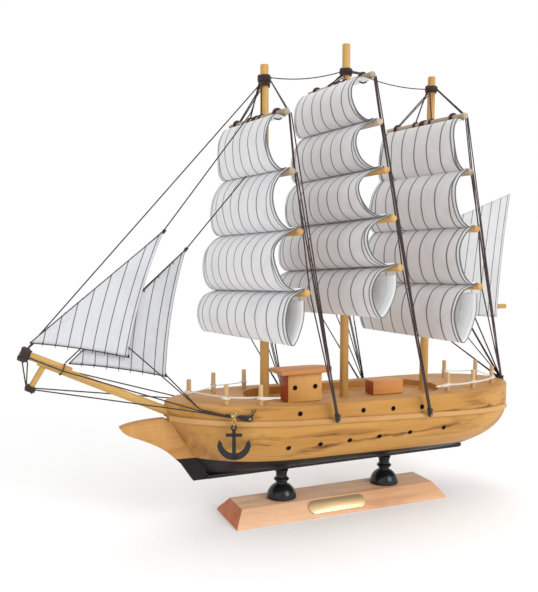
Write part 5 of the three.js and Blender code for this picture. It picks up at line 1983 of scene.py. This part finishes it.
@dataclass
class Anchor:
    """An anchor that swings on a short chain from a nail in the bow."""

    hull: Hull
    side: str
    sign: int
    x: float = -79.5
    nail_z: float = 73.3
    offset: float = 4.8
    height: float = 20
    half_width: float = 9.6
    thickness: float = 1.8
    wire: float = 0.33
    links: tuple[float, ...] = (1.5, 1, 1, 1.5)

    def build(self) -> None:
        """Builds the nail, the chain and the anchor."""
        out = self.hull.normal(self.x, self.nail_z, self.sign)
        skin = self.hull.on_side(self.x, self.nail_z, self.sign, 0)
        across = v(out.y, -out.x, 0) * self.sign
        hang = skin + out * self.offset
        shape = Shape()
        shape.rod(skin - out * 3, hang + out * 2.6, 0.45, sides=12, rounding=0.1)
        shape.rod(hang + out * 2.3, hang + out * 2.9, 1.15, 0.85, sides=18, rounding=0.2)
        deliver(shape.closed().piece("bow_nail_" + self.side, "steel_nail"), Slot.IRON, "anchor_nail_" + self.side)
        chain = Strands(self.wire)
        hook = 0.8
        for index, radius in enumerate(self.links):
            middle = hang + UP * (hook - radius + self.wire)
            flat = across if index % 2 == 0 else out
            chain.run([middle + flat * radius * math.cos(a) + UP * radius * math.sin(a)
                       for a in (math.pi * i / 14 for i in range(28))], loop=True)
            hook += 2 * self.wire - 2 * radius - 0.12
        deliver(chain.piece("chain_" + self.side, "gold_chain"), Slot.BRASS, "anchor_chain_" + self.side,
                body="anchor_chain_" + self.side)
        self.build_anchor(hang + UP * (hook + 0.12 + GAP - 0.95), across, out)

    def build_anchor(self, eye: Vector, across: Vector, out: Vector) -> None:
        """Builds the anchor's eye, shank, stock and curved arms with barbed ends.

        Args:
            eye: the middle of the eye.
            across: the level direction that the arms reach in.
            out: the direction off the hull.
        """
        shape = Shape()
        crown = -self.height + 1.7
        centre = crown + self.half_width
        outer = [(self.half_width * math.cos(a), centre + self.half_width * math.sin(a))
                 for a in (math.radians(-172 + 164 * i / 24) for i in range(25))]
        inner = [((self.half_width - 2.7) * math.cos(a), centre + 0.8 + (self.half_width - 2.7) * math.sin(a))
                 for a in (math.radians(-8 - 164 * i / 24) for i in range(25))]
        tip = (self.half_width - 1.1, centre + 1.8)
        outline = [*outer, tip, *inner, (-tip[0], tip[1])]
        pieces = [
            outline,
            [(-1.15, crown + 0.6), (1.15, crown + 0.6), (1.0, -1.2), (-1.0, -1.2)],
            [(-4.6, -4.9), (4.6, -4.9), (4.6, -3.3), (-4.6, -3.3)],
        ]
        for corners in pieces:
            shape.plate([eye + across * a + UP * b for a, b in corners], out * self.thickness, 0.15)
        turn = UP.rotation_difference(out).to_matrix().to_4x4()
        matrix = Matrix.Translation(eye - out * self.thickness / 2) @ turn
        rings = []
        for radius in (1.7, 0.95):
            made = bmesh.ops.create_circle(shape.bm, segments=24, radius=radius, matrix=matrix)
            rings += list({edge for vert in made["verts"] for edge in vert.link_edges})
        faces = bmesh.ops.bridge_loops(shape.bm, edges=rings)["faces"]
        grown = bmesh.ops.extrude_face_region(shape.bm, geom=faces)["geom"]
        bmesh.ops.translate(shape.bm, vec=out * self.thickness,
                            verts=[item for item in grown if isinstance(item, bmesh.types.BMVert)])
        deliver(shape.closed().piece("anchor_body_" + self.side, "anchor_iron"), Slot.IRON, "anchor_" + self.side,
                body="anchor_" + self.side)


# --- studio


@dataclass
class Studio:
    """The floor, the lights and the camera."""

    eye: tuple[float, float, float] = (-0.21544, -0.40616, 0.16635)
    target: tuple[float, float, float] = (-0.04628, 0, 0.13744)
    lens: float = 43.36
    sensor: float = 36
    sky: float = 0.8
    floor: float = 3000
    fade: tuple[float, float] = (0.12, 0.45)
    aim: tuple[float, float, float] = (0, 0, 0.13)

    def build(self) -> None:
        """Builds the floor, lights the scene and sets the camera."""
        self.build_floor()
        self.build_sky()
        self.lamp("key", (0.5, -0.95, 0.6), 0.6, 6.6)
        self.lamp("fill", (-0.9, -0.7, 0.6), 0.9, 1.5)
        self.lamp("top", (0.1, 0.3, 1.2), 0.8, 2.5)
        self.build_camera()

    def build_floor(self) -> None:
        """Builds a white floor that turns into the backdrop away from the ship."""
        shape = Shape()
        bmesh.ops.create_grid(shape.bm, x_segments=1, y_segments=1, size=self.floor)
        floor = shape.piece("floor")
        surface = Surface("floor", 0.9)
        surface.colour(WHITE)
        bench = surface.bench
        far = bench.add("VectorMath", {0: surface.coordinates}, operation="LENGTH").outputs["Value"]
        share = bench.step(far, *self.fade)
        white = bench.add("Emission", {"Color": WHITE})
        both = bench.add("MixShader", {0: share, 1: surface.shader.outputs[0], 2: white.outputs[0]})
        output = surface.material.node_tree.nodes["Material Output"]
        bench.feed(output.inputs["Surface"], both.outputs[0])
        floor.data.materials.append(surface.material)

    def build_sky(self) -> None:
        """Sets the world: a white backdrop, brighter than the light that it throws on the ship."""
        world = bpy.data.worlds.new("studio")
        world.use_nodes = True
        sky = world.node_tree.nodes["Background"]
        sky.inputs["Color"].default_value = (*WHITE, 1)
        sky.inputs["Strength"].default_value = self.sky
        bench = Bench(world.node_tree)
        shown = bench.add("Background", {"Color": WHITE, "Strength": 1.0})
        seen = bench.add("LightPath").outputs["Is Camera Ray"]
        both = bench.add("MixShader", {0: seen, 1: sky.outputs[0], 2: shown.outputs[0]})
        bench.feed(world.node_tree.nodes["World Output"].inputs["Surface"], both.outputs[0])
        bpy.context.scene.world = world
        bpy.context.scene.view_settings.view_transform = "Standard"

    def build_camera(self) -> None:
        """Sets the camera."""
        data = bpy.data.cameras.new("camera")
        data.lens = self.lens
        data.sensor_width = self.sensor
        data.clip_start = 0.01
        camera = bpy.data.objects.new("camera", data)
        bpy.context.scene.collection.objects.link(camera)
        camera.location = self.eye
        way = Vector(self.target) - Vector(self.eye)
        camera.rotation_euler = way.to_track_quat("-Z", "Y").to_euler()
        bpy.context.scene.camera = camera

    def lamp(self, name: str, place: tuple[float, float, float], size: float, power: float) -> None:
        """Adds a soft lamp aimed at the middle of the ship.

        Args:
            name: the lamp's name.
            place: where it hangs.
            size: width of its face.
            power: its power in watts.
        """
        data = bpy.data.lights.new(name, "AREA")
        data.size = size
        data.energy = power
        lamp = bpy.data.objects.new(name, data)
        bpy.context.scene.collection.objects.link(lamp)
        lamp.location = place
        lamp.rotation_euler = (Vector(self.aim) - Vector(place)).to_track_quat("-Z", "Y").to_euler()


def rig() -> tuple[Mast, Mast, Mast]:
    """The three masts, from the bow.

    Returns:
        The masts.
    """
    return (
        Mast("fore", -49.3, -49.3, 277.6, 8.6, 244, 34.7, (45.5, 53, 63, 72), (3.2, -2.8),
             ((12.2, 8.6), (12.3, 10.8), (15.9, 13.8), (11.5, 17)), 27),
        Mast("main", 6.7, 6.7, 295.7, 17.5, 269.5, 29.2, (42, 50, 58, 66, 73), (3.2, -2.8),
             ((14.5, 10.1), (16.3, 9), (19, 10), (18, 12), (16.5, 13.5)), 27),
        Mast("mizzen", 68.2, 71.6, 281.2, 8.4, 249.5, 35.8, (44, 51, 58.5, 63), (2.2, -1.8),
             ((9, 6), (12.6, 9), (12.9, 10), (17, 12)), 33),
    )


def main() -> None:
    """Builds the studio, then the ship from the stand up."""
    hull = Hull()
    masts = rig()
    head = HeadGear(masts[2])
    Studio().build()
    Stand().build()
    hull.build()
    Deck(hull).build()
    for mast in masts:
        mast.build()
    head.build()
    Rigging(hull, masts, head).build()
    for side, sign in SIDES.items():
        Anchor(hull, side, sign).build()


if __name__ == "__main__":
    main()
